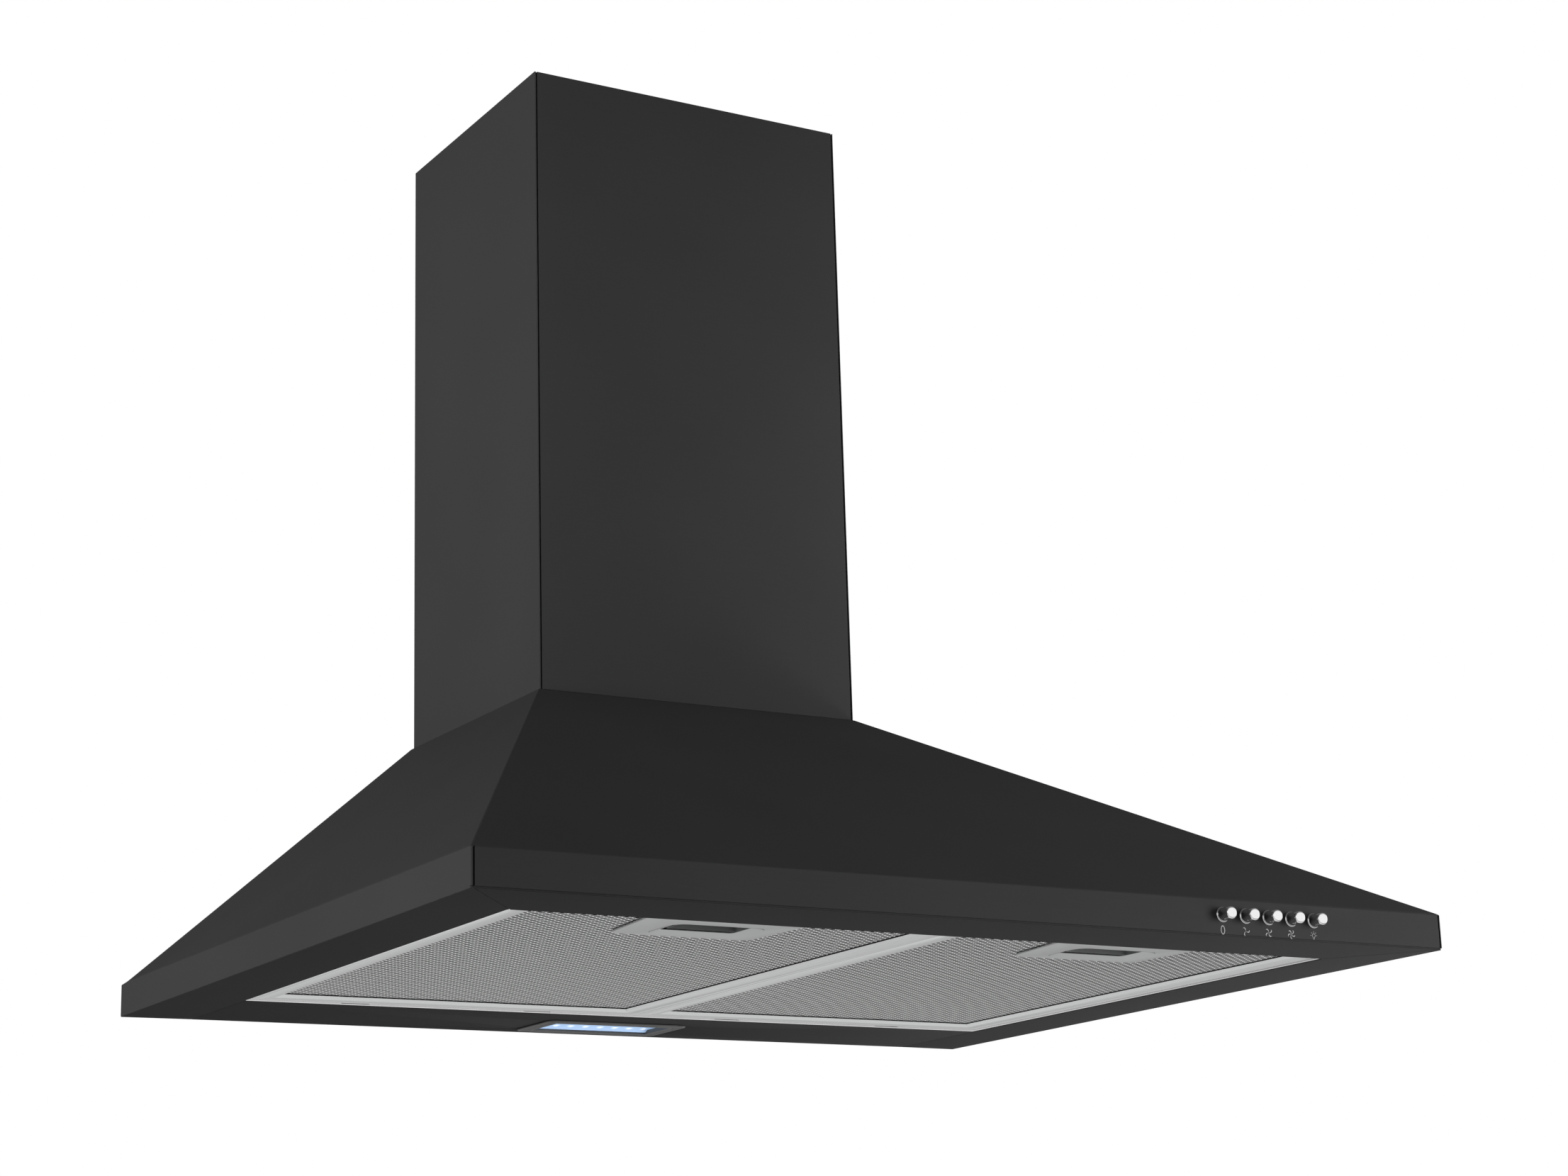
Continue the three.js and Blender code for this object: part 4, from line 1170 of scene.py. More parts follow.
@dataclass
class Chimney:
    """The two nested covers and the wall bracket of the inner one."""

    shop: Workshop
    steel: float = 0.8
    flange: float = 12.0
    corner: float = 0.7         # radius of the lower cover's front corners
    joint: float = 1.2          # depth of the dark joint beside them
    slots: int = 6
    slot_pitch: float = 12.0

    def outline(self, box: Block, inset: float, radius: float, notch: float,
                flange: float) -> list[Point2]:
        """Draws one face of a cover in plan, from its left flange round to its right flange.

        Args:
            box: the CAD's cover.
            inset: distance of this face from the outside of the cover.
            radius: radius of its front corners.
            notch: depth of the joint beside them.
            flange: length of the return flange.

        Returns:
            The points.
        """
        half, front, back = box.x1 - inset, box.y0 + inset, box.y1 - inset
        left = [(-half + flange, back), (-half + 1.2, back)]
        left += [(-half + 0.35, back - 0.35), (-half, back - 1.2)]
        left += [(-half + dx, front + dy) for dx, dy, _ in corner_profile(radius, notch)]
        return left + [(-x, y) for x, y in reversed(left)]

    def cover(self, node: str, radius: float, notch: float) -> Shape:
        """Folds one cover with its return flanges.

        Args:
            node: the CAD node whose box it fills.
            radius: radius of its front corners.
            notch: depth of the joint beside them.

        Returns:
            The cover.
        """
        box = block(node)
        outside = self.outline(box, 0, radius, notch, self.flange)
        inside = self.outline(box, self.steel, max(radius, 3.0), 0, self.flange - self.steel)
        section = outside + inside[::-1]
        heights = (box.z0, (box.z0 + box.z1) / 2, box.z1)
        body = loft([[Vector((x, y, z)) for x, y in section] for z in heights])
        return bevelled(body, 0.12, 2, 60)

    def build(self) -> None:
        """Builds both covers and the bracket."""
        lower = self.cover("lower_chimney_cover", self.corner, self.joint)
        self.shop.piece("lower_cover_folded", lower, "satin_black_enamel", "hood",
                        ["lower_chimney_cover"], 30)
        box = block("upper_chimney_cover")
        # each vent runs through both sides of the inner cover
        slot = bevelled(cuboid(box.x0 - 2, box.x1 + 2, -140, -60, -3, 0), 1.2, 3)
        cutters = self.shop.row.grow(slot, Count=self.slots, Start=(0.0, 0.0, box.z1 - 25),
                                     Step=(0.0, 0.0, -self.slot_pitch), Turn=(0.0, 0.0, 0.0))
        upper = boolean(self.cover("upper_chimney_cover", 3.0, 0), [cutters])
        self.shop.piece("upper_cover_folded", upper, "satin_black_enamel", "upper_chimney",
                        ["upper_chimney_cover"], 30)
        self.shop.dress("upper_wall_bracket", "galvanised_steel")


@dataclass(frozen=True)
class Lattice:
    """Sizes of one expanded metal net."""

    long_way: float     # length of one opening
    short_way: float
    strand: float       # half the width of a strand
    bond: float         # half the length of the joint between two strands
    twist: float        # how far the edges of a strand lie above and below its middle
    gauge: float        # thickness of the metal

    @staticmethod
    def hexagon(tip: float, flat: float, crest: float) -> list[Point2]:
        """A hexagon with its points at -tip and tip, and flats of half-length flat at the crests."""
        upper = [(tip, 0.0), (flat, crest), (-flat, crest)]
        return upper + [(-x, -y) for x, y in upper]

    def opening(self) -> Shape:
        """Draws one opening of the net, with its half of the strands and bonds round it.

        Returns:
            The two faces and the inner edge; the outer edges stay open towards the neighbours.
        """
        tip, crest = self.long_way / 2 - self.bond, self.short_way / 2
        outline = self.hexagon(tip, self.bond, crest)
        hole = self.hexagon(tip - 1.3 * self.strand, 0.75 * self.bond, crest - self.strand)
        rings = ((outline, 0.0, 0.0), (hole, self.twist, 0.0), (hole, self.twist, self.gauge),
                 (outline, 0.0, self.gauge))
        # each strand is twisted: its front edge lies higher up than its rear edge
        loops = []
        for ring, twist, z in rings:
            loops.append([Vector((x, y, z + math.copysign(twist, y) * (y != 0))) for x, y in ring])
        unit = loft(loops)
        unit.faces = unit.faces[:-2]
        return unit


@dataclass
class FilterCassette:
    """One grease filter: its frame, nets, latch plate, finger cup and spring."""

    shop: Workshop
    side: str
    flat: float = 12.0          # width of the frame's members
    front_share: float = 0.25   # the front member is this much of the others' width
    wall: float = 0.8
    overlap: float = 1.6        # how far the nets reach in under the frame
    face: Lattice = Lattice(6.1, 4.65, 0.3, 0.6, 0.055, 0.04)
    rear: Lattice = Lattice(10.0, 6.2, 0.7, 1.0, 0.06, 0.15)    # the coarser net inside
    face_z: float = 3.55
    rear_z: float = 7.9
    # half the width of each net's gap, and how far it stops short of the latch plate's rear edge
    face_gap: Point2 = (36.0, 9.0)
    rear_gap: Point2 = (46.0, -2.0)
    dish: Block = Block(-18.4, 25.6, -420.3, -395.7, 1.9, 3.6)  # inner edge of the pressed dish
    dish_reach: float = 6.0     # width of the dish's slope, 1 mm less at its front and back

    def __post_init__(self) -> None:
        """Measures the CAD's frame."""
        self.box = block(f"{self.side}_filter_frame")
        self.middle = self.box.centre.x
        self.front = self.box.y0
        self.back = block(f"{self.side}_filter_net").y1 + 1.1
        self.body = f"{self.side}_filter"
        self.half = self.box.half[0]

    def frame(self) -> None:
        """Makes the rolled channel round the filter, with its two rear tongues."""
        f, w = self.flat, self.wall
        low, high = self.box.z0, self.box.z1
        profile = [
            (f, high), (1.0, high), (0.3, high - 0.3), (0.0, high - 1.0), (0.0, low + 0.9),
            (0.25, low + 0.25), (0.9, low), (3.0, low), (3.25, low + 0.22), (3.5, low), (f - 0.9, low),
            (f - 0.5, low + 0.15), (f + 0.35, low + 1.9), (f + 0.15, low + 2.15), (f - 0.6, low + 1.9),
            (f - 1.2, low + w), (w, low + w), (w, high - w), (f, high - w),
        ]
        half_y = (self.back - self.front) / 2
        ring = rounded_stack(self.half, half_y, 1.2, profile, closed=True, steps=3)
        ring = ring.moved(self.middle, (self.front + self.back) / 2)
        # the flange hides all but the foot of the front member, so that one is narrow
        for point in ring.points:
            if point.y < self.front + f + 1:
                point.y = self.front + (point.y - self.front) * self.front_share
        slot = cuboid(self.middle - 8.6, self.middle + 8.6, self.front - 1, self.front + 3, 4.7, 7.3)
        ring = boolean(ring, [slot])
        for x in (self.middle - TONGUE_AT, self.middle + TONGUE_AT):
            tongue = bevelled(cuboid(x - 8, x + 8, self.back - 0.7, self.box.y1, 2, 3), 0.25)
            ring = ring.joined(tongue)
        self.shop.piece(f"{self.side}_filter_channel", ring, "rolled_aluminium", self.body,
                        [f"{self.side}_filter_frame"], 40)

    def net(self, name: str, lattice: Lattice, z: float, gap: Point2, replaces: Sequence[str]) -> None:
        """Makes one expanded metal face of the filter, with a gap for the latch.

        Args:
            name: the last part of the piece's name.
            lattice: the sizes of its openings.
            z: height of the metal's lower face.
            gap: half the gap's width, and how far it stops short of the latch plate's rear edge.
            replaces: the CAD nodes that it stands for.
        """
        width = 2 * (self.half - self.flat + self.overlap)
        front = self.front + self.flat * self.front_share
        length = self.back - self.flat + self.overlap - front
        centre_y = front + length / 2
        gap_back = block(f"{self.side}_latch_plate").y1 - gap[1] - centre_y
        grown = self.shop.expanded_metal.grow(
            lattice.opening(), self.shop.finishes.materials["expanded_aluminium"],
            Columns=int(width / lattice.long_way), Rows=int(length / (lattice.short_way / 2)),
            Long_Way=lattice.long_way, Short_Way=lattice.short_way, Window_Half=gap[0],
            Window_Back=gap_back)
        placed = hemmed(grown).moved(self.middle, centre_y, z)
        self.shop.piece(f"{self.side}_{name}", placed, "expanded_aluminium", self.body, replaces, 80)

    def latch_cover(self) -> None:
        """Makes the plate round the finger cup, with its pressed dish."""
        box = block(f"{self.side}_latch_plate")
        back_half, corner = 42.0, 6.0
        front = self.front + self.flat * self.front_share + 0.6
        outline = [(box.x0 - self.middle, front), (box.x1 - self.middle, front)]
        for side, start in ((1, 0), (-1, 90)):
            for i in range(6):
                angle = math.radians(start + 18 * i)
                outline.append((side * (back_half - corner) + corner * math.cos(angle),
                                box.y1 - corner + corner * math.sin(angle)))
        dish, reach, at = self.dish, self.dish_reach, self.dish.centre
        half_x, half_y, _ = dish.half
        hole = rounded_loop(half_x + reach, half_y + reach - 1, 8.0, 0)
        cutout = [(p.x + at.x, p.y + at.y) for p in hole]
        base = plate([outline, cutout], box.z0, self.face_z - 0.1, 0.75)
        low, high = dish.z0 + 0.05, dish.z1
        slope = [(-reach, low), (-reach + 0.6, low + 0.1), (-0.5, high - 0.2), (0.0, high),
                 (0.0, high + 0.4), (-0.9, high + 0.3), (-reach + 0.4, low + 0.6), (-reach, low + 0.5)]
        pressed = rounded_stack(half_x, half_y, 2.5, slope, closed=True)
        squeeze = (half_y + reach - 1) / (half_y + reach)
        pressed = Shape([Vector((p.x, p.y * squeeze, p.z)) for p in pressed.points], pressed.faces)
        cover = base.joined(pressed.moved(at.x, at.y)).moved(self.middle)
        self.shop.piece(f"{self.side}_latch_cover", cover, "satin_aluminium", self.body,
                        [f"{self.side}_latch_plate"])

    def finger_cup(self) -> None:
        """Makes the sliding cup with its flange and its bolt."""
        slider = block(f"{self.side}_latch_slider")
        half_x = self.dish.half[0]
        dip = [(0, 8.4), (0, 3.4), (0.9, 3.3), (1.1, 3.6), (2.4, 7.4)]
        cup = rounded_stack(half_x - 0.6, 9, 2.2, dip)
        flange = cuboid(-half_x - 5, half_x + 5, -17, 12, 4.5, 5.2)
        flange = boolean(flange, [cuboid(1 - half_x, half_x - 1, -8, 8, 0, 7)])
        whole = boolean(cup, [flange], "UNION").moved(self.dish.centre.x, slider.y1 - 12)
        bolt = bevelled(cuboid(-8, 8, slider.y0, -419.6, 5.4, 7), 0.3)
        whole = boolean(whole, [bolt], "UNION").moved(self.middle)
        # the cup's dark grey is painted shade for the hollow of the dish
        self.shop.piece(f"{self.side}_finger_cup", whole, "cast_zinc_painted_shade", f"{self.side}_latch",
                        [f"{self.side}_latch_slider"])

    def latch_coil(self) -> None:
        """Makes the spring between the filter and the cup; on the hood it shortens as the cup slides, but
        this piece keeps its drawn length.
        """
        box = block(f"{self.side}_latch_spring")
        at = box.centre
        coil = tube(helix(1.3, box.y0 + 0.3, box.y1 - 0.3, 11), 0.28, 2).moved(at.x, 0, at.z)
        ends = [metres(at.x, y, at.z) for y in (box.y0, box.y1)]
        self.shop.piece(f"{self.side}_latch_coil", coil, "zinc_plate", self.body,
                        [f"{self.side}_latch_spring"], stretch=(f"{self.side}_latch", *ends))

    def build(self) -> None:
        """Builds the whole filter."""
        self.frame()
        self.net("expanded_net", self.face, self.face_z, self.face_gap, [f"{self.side}_filter_net"])
        self.net("rear_net", self.rear, self.rear_z, self.rear_gap, [])
        self.latch_cover()
        self.finger_cup()
        self.latch_coil()
        # the pack is coloured near-black: painted shade behind the nets
        self.shop.dress(f"{self.side}_filter_pack", "knitted_aluminium_painted_shade", 0)


@dataclass
class PushButtons:
    """Five chromed buttons in their collars, with the marks printed under them."""

    names: ClassVar[tuple[str, ...]] = ("off", "speed_1", "speed_2", "speed_3", "light")

    shop: Workshop
    reach: float = 8.0          # how far a button stands out of the rim
    mark_z: float = 3.3
    mark_shift: float = -0.6    # x of the marks, measured from their buttons
    stroke: float = 0.13        # half the width of the lines of the lamp's mark
    ink: float = 0.06           # thickness of the marks

    def button(self, name: str, front: float) -> None:
        """Makes one button, its collar and its return spring.

        Args:
            name: which button it is.
            front: y of the rim's front face.
        """
        at = block(f"{name}_button").centre
        face = front - self.reach
        profile = [
            (0.0, face - 0.3), (1.1, face - 0.285), (2.1, face - 0.24), (2.9, face - 0.17),
            (3.15, face - 0.1), (3.3, face + 0.1), (3.36, face + 0.4), (3.42, face + 1.6),
            (3.5, face + 3.2), (3.6, face + 5.4), (3.7, front), (3.7, front + 4.6), (4.2, front + 4.6),
            (4.2, front + 5.8), (1.5, front + 5.8), (1.5, front + 29.3), (0.0, front + 29.5),
        ]
        body = lathe(profile, "Y", 56).moved(at.x, 0, at.z)
        self.shop.piece(f"{name}_chrome_button", body, "chrome_plate", f"{name}_key",
                        [f"{name}_button"], 40)
        rim = [(3.78, front - 0.25), (3.9, front - 0.35), (4.1, front - 0.3), (4.22, front - 0.12),
               (4.22, front - 0.05), (4.0, front - 0.02), (4.0, front + 4.2), (3.78, front + 4.2)]
        collar = lathe(rim, "Y", 56, closed=True).moved(at.x, 0, at.z)
        self.shop.piece(f"{name}_chrome_collar", collar, "chrome_plate", "hood",
                        [f"{name}_button_collar"], 50)
        box = block(f"{name}_button_spring")
        wire = tube(helix(2.4, box.y0 + 0.35, box.y1 - 0.35, 7), 0.3, 2).moved(at.x, 0, at.z)
        coil = self.shop.piece(f"{name}_return_coil", wire, "zinc_plate", "hood",
                               [f"{name}_button_spring"])
        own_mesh(coil)

    def fan(self, blades: int) -> list[list[Point2]]:
        """Draws a small fan with curved blades, about the origin.

        Args:
            blades: how many blades it has.

        Returns:
            The outline of each blade.
        """
        outlines = []
        for k in range(blades):
            turn = 2 * math.pi * k / blades + math.pi / 2
            left, right = [], []
            for i in range(7):
                t = i / 6
                r, w = 0.2 + 2.3 * t, 0.12 + 0.62 * t ** 1.4
                u, v = math.cos(turn + 0.6 * t * t), math.sin(turn + 0.6 * t * t)
                left.append((r * u - w * v, r * v + w * u))
                right.append((r * u + w * 0.4 * v, r * v - w * 0.4 * u))
            outlines.append(left + right[::-1])
        return outlines

    def bulb(self) -> list[list[Vector]]:
        """Draws a small lamp bulb with rays, about the origin.

        Returns:
            The middle line of each stroke.
        """
        glass = []
        for i in range(13):
            angle = math.radians(-50 + 280 * i / 12)
            glass.append(Vector((1.0 * math.cos(angle), 0.15 + 1.05 * math.sin(angle), 0)))
        base = [glass[-1], Vector((-0.3, -1.5, 0)), Vector((0.0, -2.1, 0)), Vector((0.3, -1.5, 0)), glass[0]]
        strokes = [glass, base]
        centre = Vector((0, 0.15, 0))
        for degrees in (0, 45, 90, 135, 180):
            angle = math.radians(degrees)
            out = Vector((math.cos(angle), math.sin(angle), 0))
            strokes.append([out * 1.65 + centre, out * 2.3 + centre])
        return strokes

    def marks(self, front: float) -> None:
        """Makes the printed marks: nought, three fans and a bulb.

        Args:
            front: y of the rim's front face.
        """
        angles = [2 * math.pi * i / 32 for i in range(32)]
        printed = Shape()
        for i, name in enumerate(self.names):
            flat = Shape()
            if name == "off":
                sizes = ((1.45, 2.45), (0.98, 1.98))
                rings = [[(x * math.cos(a), y * math.sin(a)) for a in angles] for x, y in sizes]
                flat = plate(rings, 0, self.ink, 0.01)
            elif name == "light":
                for stroke in self.bulb():
                    flat = flat.joined(tube(stroke, self.stroke, 1))
                flat = Shape([Vector((p.x, p.y, p.z * 0.2 + self.ink / 2)) for p in flat.points], flat.faces)
            else:
                for outline in self.fan(i + 2):
                    flat = flat.joined(plate([outline], 0, self.ink, 0.01))
            x = block(f"{name}_button").centre.x + self.mark_shift
            printed = printed.joined(flat.turned(90, "X").moved(x, front - 0.02, self.mark_z))
        self.shop.piece("printed_marks", printed, "screen_ink", "hood")

    def build(self) -> None:
        """Builds the buttons, their marks and the switch body."""
        front = block("canopy_shell").y0
        for name in self.names:
            self.button(name, front)
        self.marks(front)
        self.shop.dress("switch_housing", "moulded_black_plastic")


@dataclass
class Lamp:
    """The LED lamp in the strip behind the filters."""

    shop: Workshop
    rib_pitch: float = 1.5

    def build(self) -> None:
        """Builds the surround, the lens, the board and the tray."""
        bezel, lens = block("lamp_bezel"), block("lamp_lens")
        at, low, high = bezel.centre, bezel.z0, bezel.z1
        half_x, half_y, _ = bezel.half
        lens_x, lens_y, _ = lens.half
        gap = half_y - lens_y
        ribs = [(0.0, low + 1.0), (0.0, low + 0.5), (0.5, low + 0.05), (1.2, low)]
        # low ribs run round the surround, as far as the seat of the lens
        inset = 1.8
        while inset < gap - 1.6:
            ribs += [(inset, low + 0.02), (inset + 0.25, low + 0.32), (inset + 0.65, low + 0.32),
                     (inset + 0.9, low + 0.02)]
            inset += self.rib_pitch
        ribs += [(gap - 0.5, low + 0.05), (gap - 0.3, low + 0.4), (gap - 0.3, high), (gap - 1.4, high),
                 (gap - 1.4, low + 1.0)]
        surround = rounded_stack(half_x, half_y, 5, ribs, closed=True, steps=5).moved(at.x, at.y)
        self.shop.piece("lamp_surround", surround, "moulded_grey_plastic", "hood", ["lamp_bezel"], 25)
        # a shallow pan: its walls slope up to a flat middle
        pan = [(0, lens.z1), (0, lens.z0), (0.6, lens.z0), (4.4, lens.z0 + 1.7), (4.8, lens.z0 + 1.75)]
        glass = rounded_stack(lens_x, lens_y, 1.0, pan, steps=3).moved(at.x, at.y)
        self.shop.piece("lamp_window", glass, "frosted_polycarbonate", "hood", ["lamp_lens"], 20)
        self.shop.dress("led_board", "solder_mask", 0.15)
        self.shop.dress("lamp_tray", "galvanised_steel")


@dataclass
class Blower:
    """The scroll, the wheel in it, the motor and its bracket."""

    shop: Workshop
    blades: int = 32
    blade_reach: float = 10.0   # how far the blades and end rings reach in from the wheel's edge
    blade_wall: float = 0.9
    thread: float = 0.8         # pitch of the screws

    def wheel(self) -> None:
        """Makes the wheel: a hub disc, two end rings and the blades between them."""
        box = block("impeller")
        axis = box.centre
        radius, reach = box.half[2], box.x1 - axis.x
        inner = radius - self.blade_reach
        hub = lathe([(4.3, -8), (9, -8), (9, -1.2), (12, -1), (radius - 0.4, -1), (radius, -0.6),
                     (radius, 0.6), (radius - 0.4, 1), (12, 1), (9, 1.4), (9, 14), (4.3, 14)], "X", 72, True)
        rings = []
        for side in (-1, 1):
            near, far = side * (reach - 2), side * reach
            rings.append(lathe([(inner, near), (radius, near), (radius, far), (inner, far)], "X", 72, True))
        arc = []
        for i in range(7):
            t = i / 6
            arc.append((inner + 0.6 + 8.9 * t, 3.2 * math.sin(math.pi * t) - 1.6))
        arc += [(u, v - self.blade_wall) for u, v in reversed(arc)]
        blade = loft([[Vector((x, u, v)) for u, v in arc] for x in (-reach + 1, reach - 1)])
        vanes = self.shop.row.grow(blade, Count=self.blades, Start=(0.0, 0.0, 0.0),
                                   Step=(0.0, 0.0, 0.0), Turn=(2 * math.pi / self.blades, 0.0, 0.0))
        whole = hub.joined(*rings, vanes).moved(axis.x, axis.y, axis.z)
        self.shop.piece("double_inlet_wheel", whole, "moulded_black_plastic", "wheel", ["impeller"])

    def motor(self) -> None:
        """Makes the motor's can and its shaft, both on the wheel's axis."""
        axis = block("impeller").centre
        box = block("motor_body")
        r, x0, x1 = box.half[2], box.x0, box.x1
        can = [(0, x0), (10, x0), (12, x0 + 0.6), (13, x0 + 2), (r - 4, x0 + 2), (r - 1.4, x0 + 2.6),
               (r - 0.2, x0 + 4.2), (r, x0 + 6), (r, x1 - 10), (r - 0.6, x1 - 8.2), (r - 3, x1 - 4),
               (r - 6, x1 - 3.1), (11, x1 - 3), (10, x1 - 2.6), (9.8, x1), (5, x1), (5, x1 - 2), (0, x1 - 2)]
        body = lathe(can, "X", 72).moved(0, axis.y, axis.z)
        self.shop.piece("motor_can", body, "galvanised_steel", "hood", ["motor_body"])
        shaft = block("motor_shaft")
        x0, x1 = shaft.x0, shaft.x1
        rod = [(0, x0), (3.6, x0), (4, x0 + 0.5), (4, x1 - 0.6), (3.4, x1), (0, x1)]
        turned = lathe(rod, "X", 32).moved(0, axis.y, axis.z)
        self.shop.piece("turned_shaft", turned, "zinc_plate", "wheel", ["motor_shaft"])

    def screw(self, node: str) -> None:
        """Makes one pan-head screw with a cross recess and a threaded shank.

        Args:
            node: the CAD's screw.
        """
        box = block(node)
        at, low = box.centre, box.z0
        side = [(0, low), (1.6, low + 0.1), (2.9, low + 0.7), (3.8, low + 1.8), (4, low + 2.6),
                (4, low + 3.0), (1.7, low + 3.0)]
        z = low + 3.4
        while z < box.z1 - 1.2:
            side += [(1.6, z), (2.0, z + 0.35), (1.6, z + 0.7)]
            z += self.thread
        side.append((0, box.z1))
        cross = [cuboid(-x, x, -y, y, low - 1, low + 1.4) for x, y in ((2, 0.35), (0.35, 2))]
        whole = boolean(lathe(side, "Z", 28), cross).moved(at.x, at.y)
        self.shop.piece(f"{node}_panhead", whole, "zinc_plate", "hood", [node])

    def build(self) -> None:
        """Builds the round parts anew and dresses the rest."""
        self.wheel()
        self.motor()
        self.shop.dress("blower_housing", "moulded_black_plastic")
        self.shop.dress("motor_bracket", "galvanised_steel")
        for i in range(1, 5):
            self.screw(f"blower_screw_{i}")


@dataclass
class Outlet:
    """The duct spigot with its two flaps."""

    shop: Workshop
    wall: float = 1.5
    beads: tuple[float, ...] = (16.0, 26.0, 36.0)   # heights of the beads that grip the duct

    def build(self) -> None:
        """Builds the spigot, the flaps and their pin."""
        shop, box = self.shop, block("outlet_spigot")
        at, flange, base, top = box.centre, box.half[0], box.z0, box.z1
        outer = flange - 7
        inner, seat = outer - self.wall, block("front_flap").z0 - 0.5
        profile = [
            (inner - 5, base), (flange - 0.3, base), (flange, base + 0.3), (flange, base + 1.2),
            (flange - 0.3, base + 1.5), (outer + 0.8, base + 1.5), (outer + 0.2, base + 1.8),
            (outer, base + 2.6),
        ]
        for z in self.beads:
            profile += [(outer, base + z - 1.0), (outer + 0.45, base + z), (outer, base + z + 1.0)]
        profile += [
            (outer, top - 0.6), (outer - 0.5, top), (inner + 0.4, top), (inner, top - 0.5), (inner, seat),
            (inner - 4, seat), (inner - 4, seat - 1.5), (inner, seat - 1.5), (inner, base + 1.5),
            (inner - 5, base + 1.5),
        ]
        spigot = lathe(profile, "Z", 112, True).moved(at.x, at.y)
        shop.piece("duct_spigot", spigot, "moulded_black_plastic", "hood", ["outlet_spigot"], 40)
        for node in ("front_flap", "rear_flap"):
            shop.dress(node, "moulded_black_plastic", 0.15)
        shop.dress("flap_pin", "zinc_plate", 0)


@dataclass
class Electrics:
    """Terminal box, capacitor, gland and the leads between them."""

    shop: Workshop

    def build(self) -> None:
        """Dresses the boxes and builds the round parts."""
        shop, box = self.shop, block("capacitor")
        shop.dress("terminal_box", "moulded_black_plastic", 0.5)
        shop.dress("terminal_box_lid", "moulded_black_plastic", 0.5)
        at, r, x0, x1 = box.centre, box.half[2], box.x0, box.x1
        can = [(0, x0), (r - 1.5, x0), (r - 0.4, x0 + 0.4), (r, x0 + 1.5), (r, x1 - 5), (r - 0.6, x1 - 4.2),
               (r - 0.6, x1 - 3.2), (r, x1 - 2.4), (r - 0.3, x1 - 0.6), (r - 2, x1), (0, x1)]
        body = lathe(can, "X", 48).moved(0, at.y, at.z)
        shop.piece("capacitor_can", body, "moulded_white_plastic", "hood", ["capacitor"])
        shop.dress("cable_gland", "moulded_black_plastic", 0.2)
        for node in ("switch_lead", "lamp_lead", "motor_lead"):
            shop.dress(node, "grey_pvc", 0)


# ---------------------------------------------------------------- studio
@dataclass(frozen=True)
class SoftBox:
    """A rectangular lamp: its place and aim in metres, its size and its watts."""

    name: str
    place: Point3
    aim: Point3
    size: Point2
    watts: float

    def hang(self) -> None:
        """Makes the lamp and turns it to its aim."""
        data = bpy.data.lights.new(self.name, "AREA")
        data.shape = "RECTANGLE"
        data.size, data.size_y = self.size
        data.energy = self.watts
        made = linked(self.name, data)
        made.location = self.place
        made.visible_glossy = False     # metal shows the white surround, not the lamps
        beam = Vector(self.aim) - Vector(self.place)
        made.rotation_euler = beam.to_track_quat("-Z", "Y").to_euler()


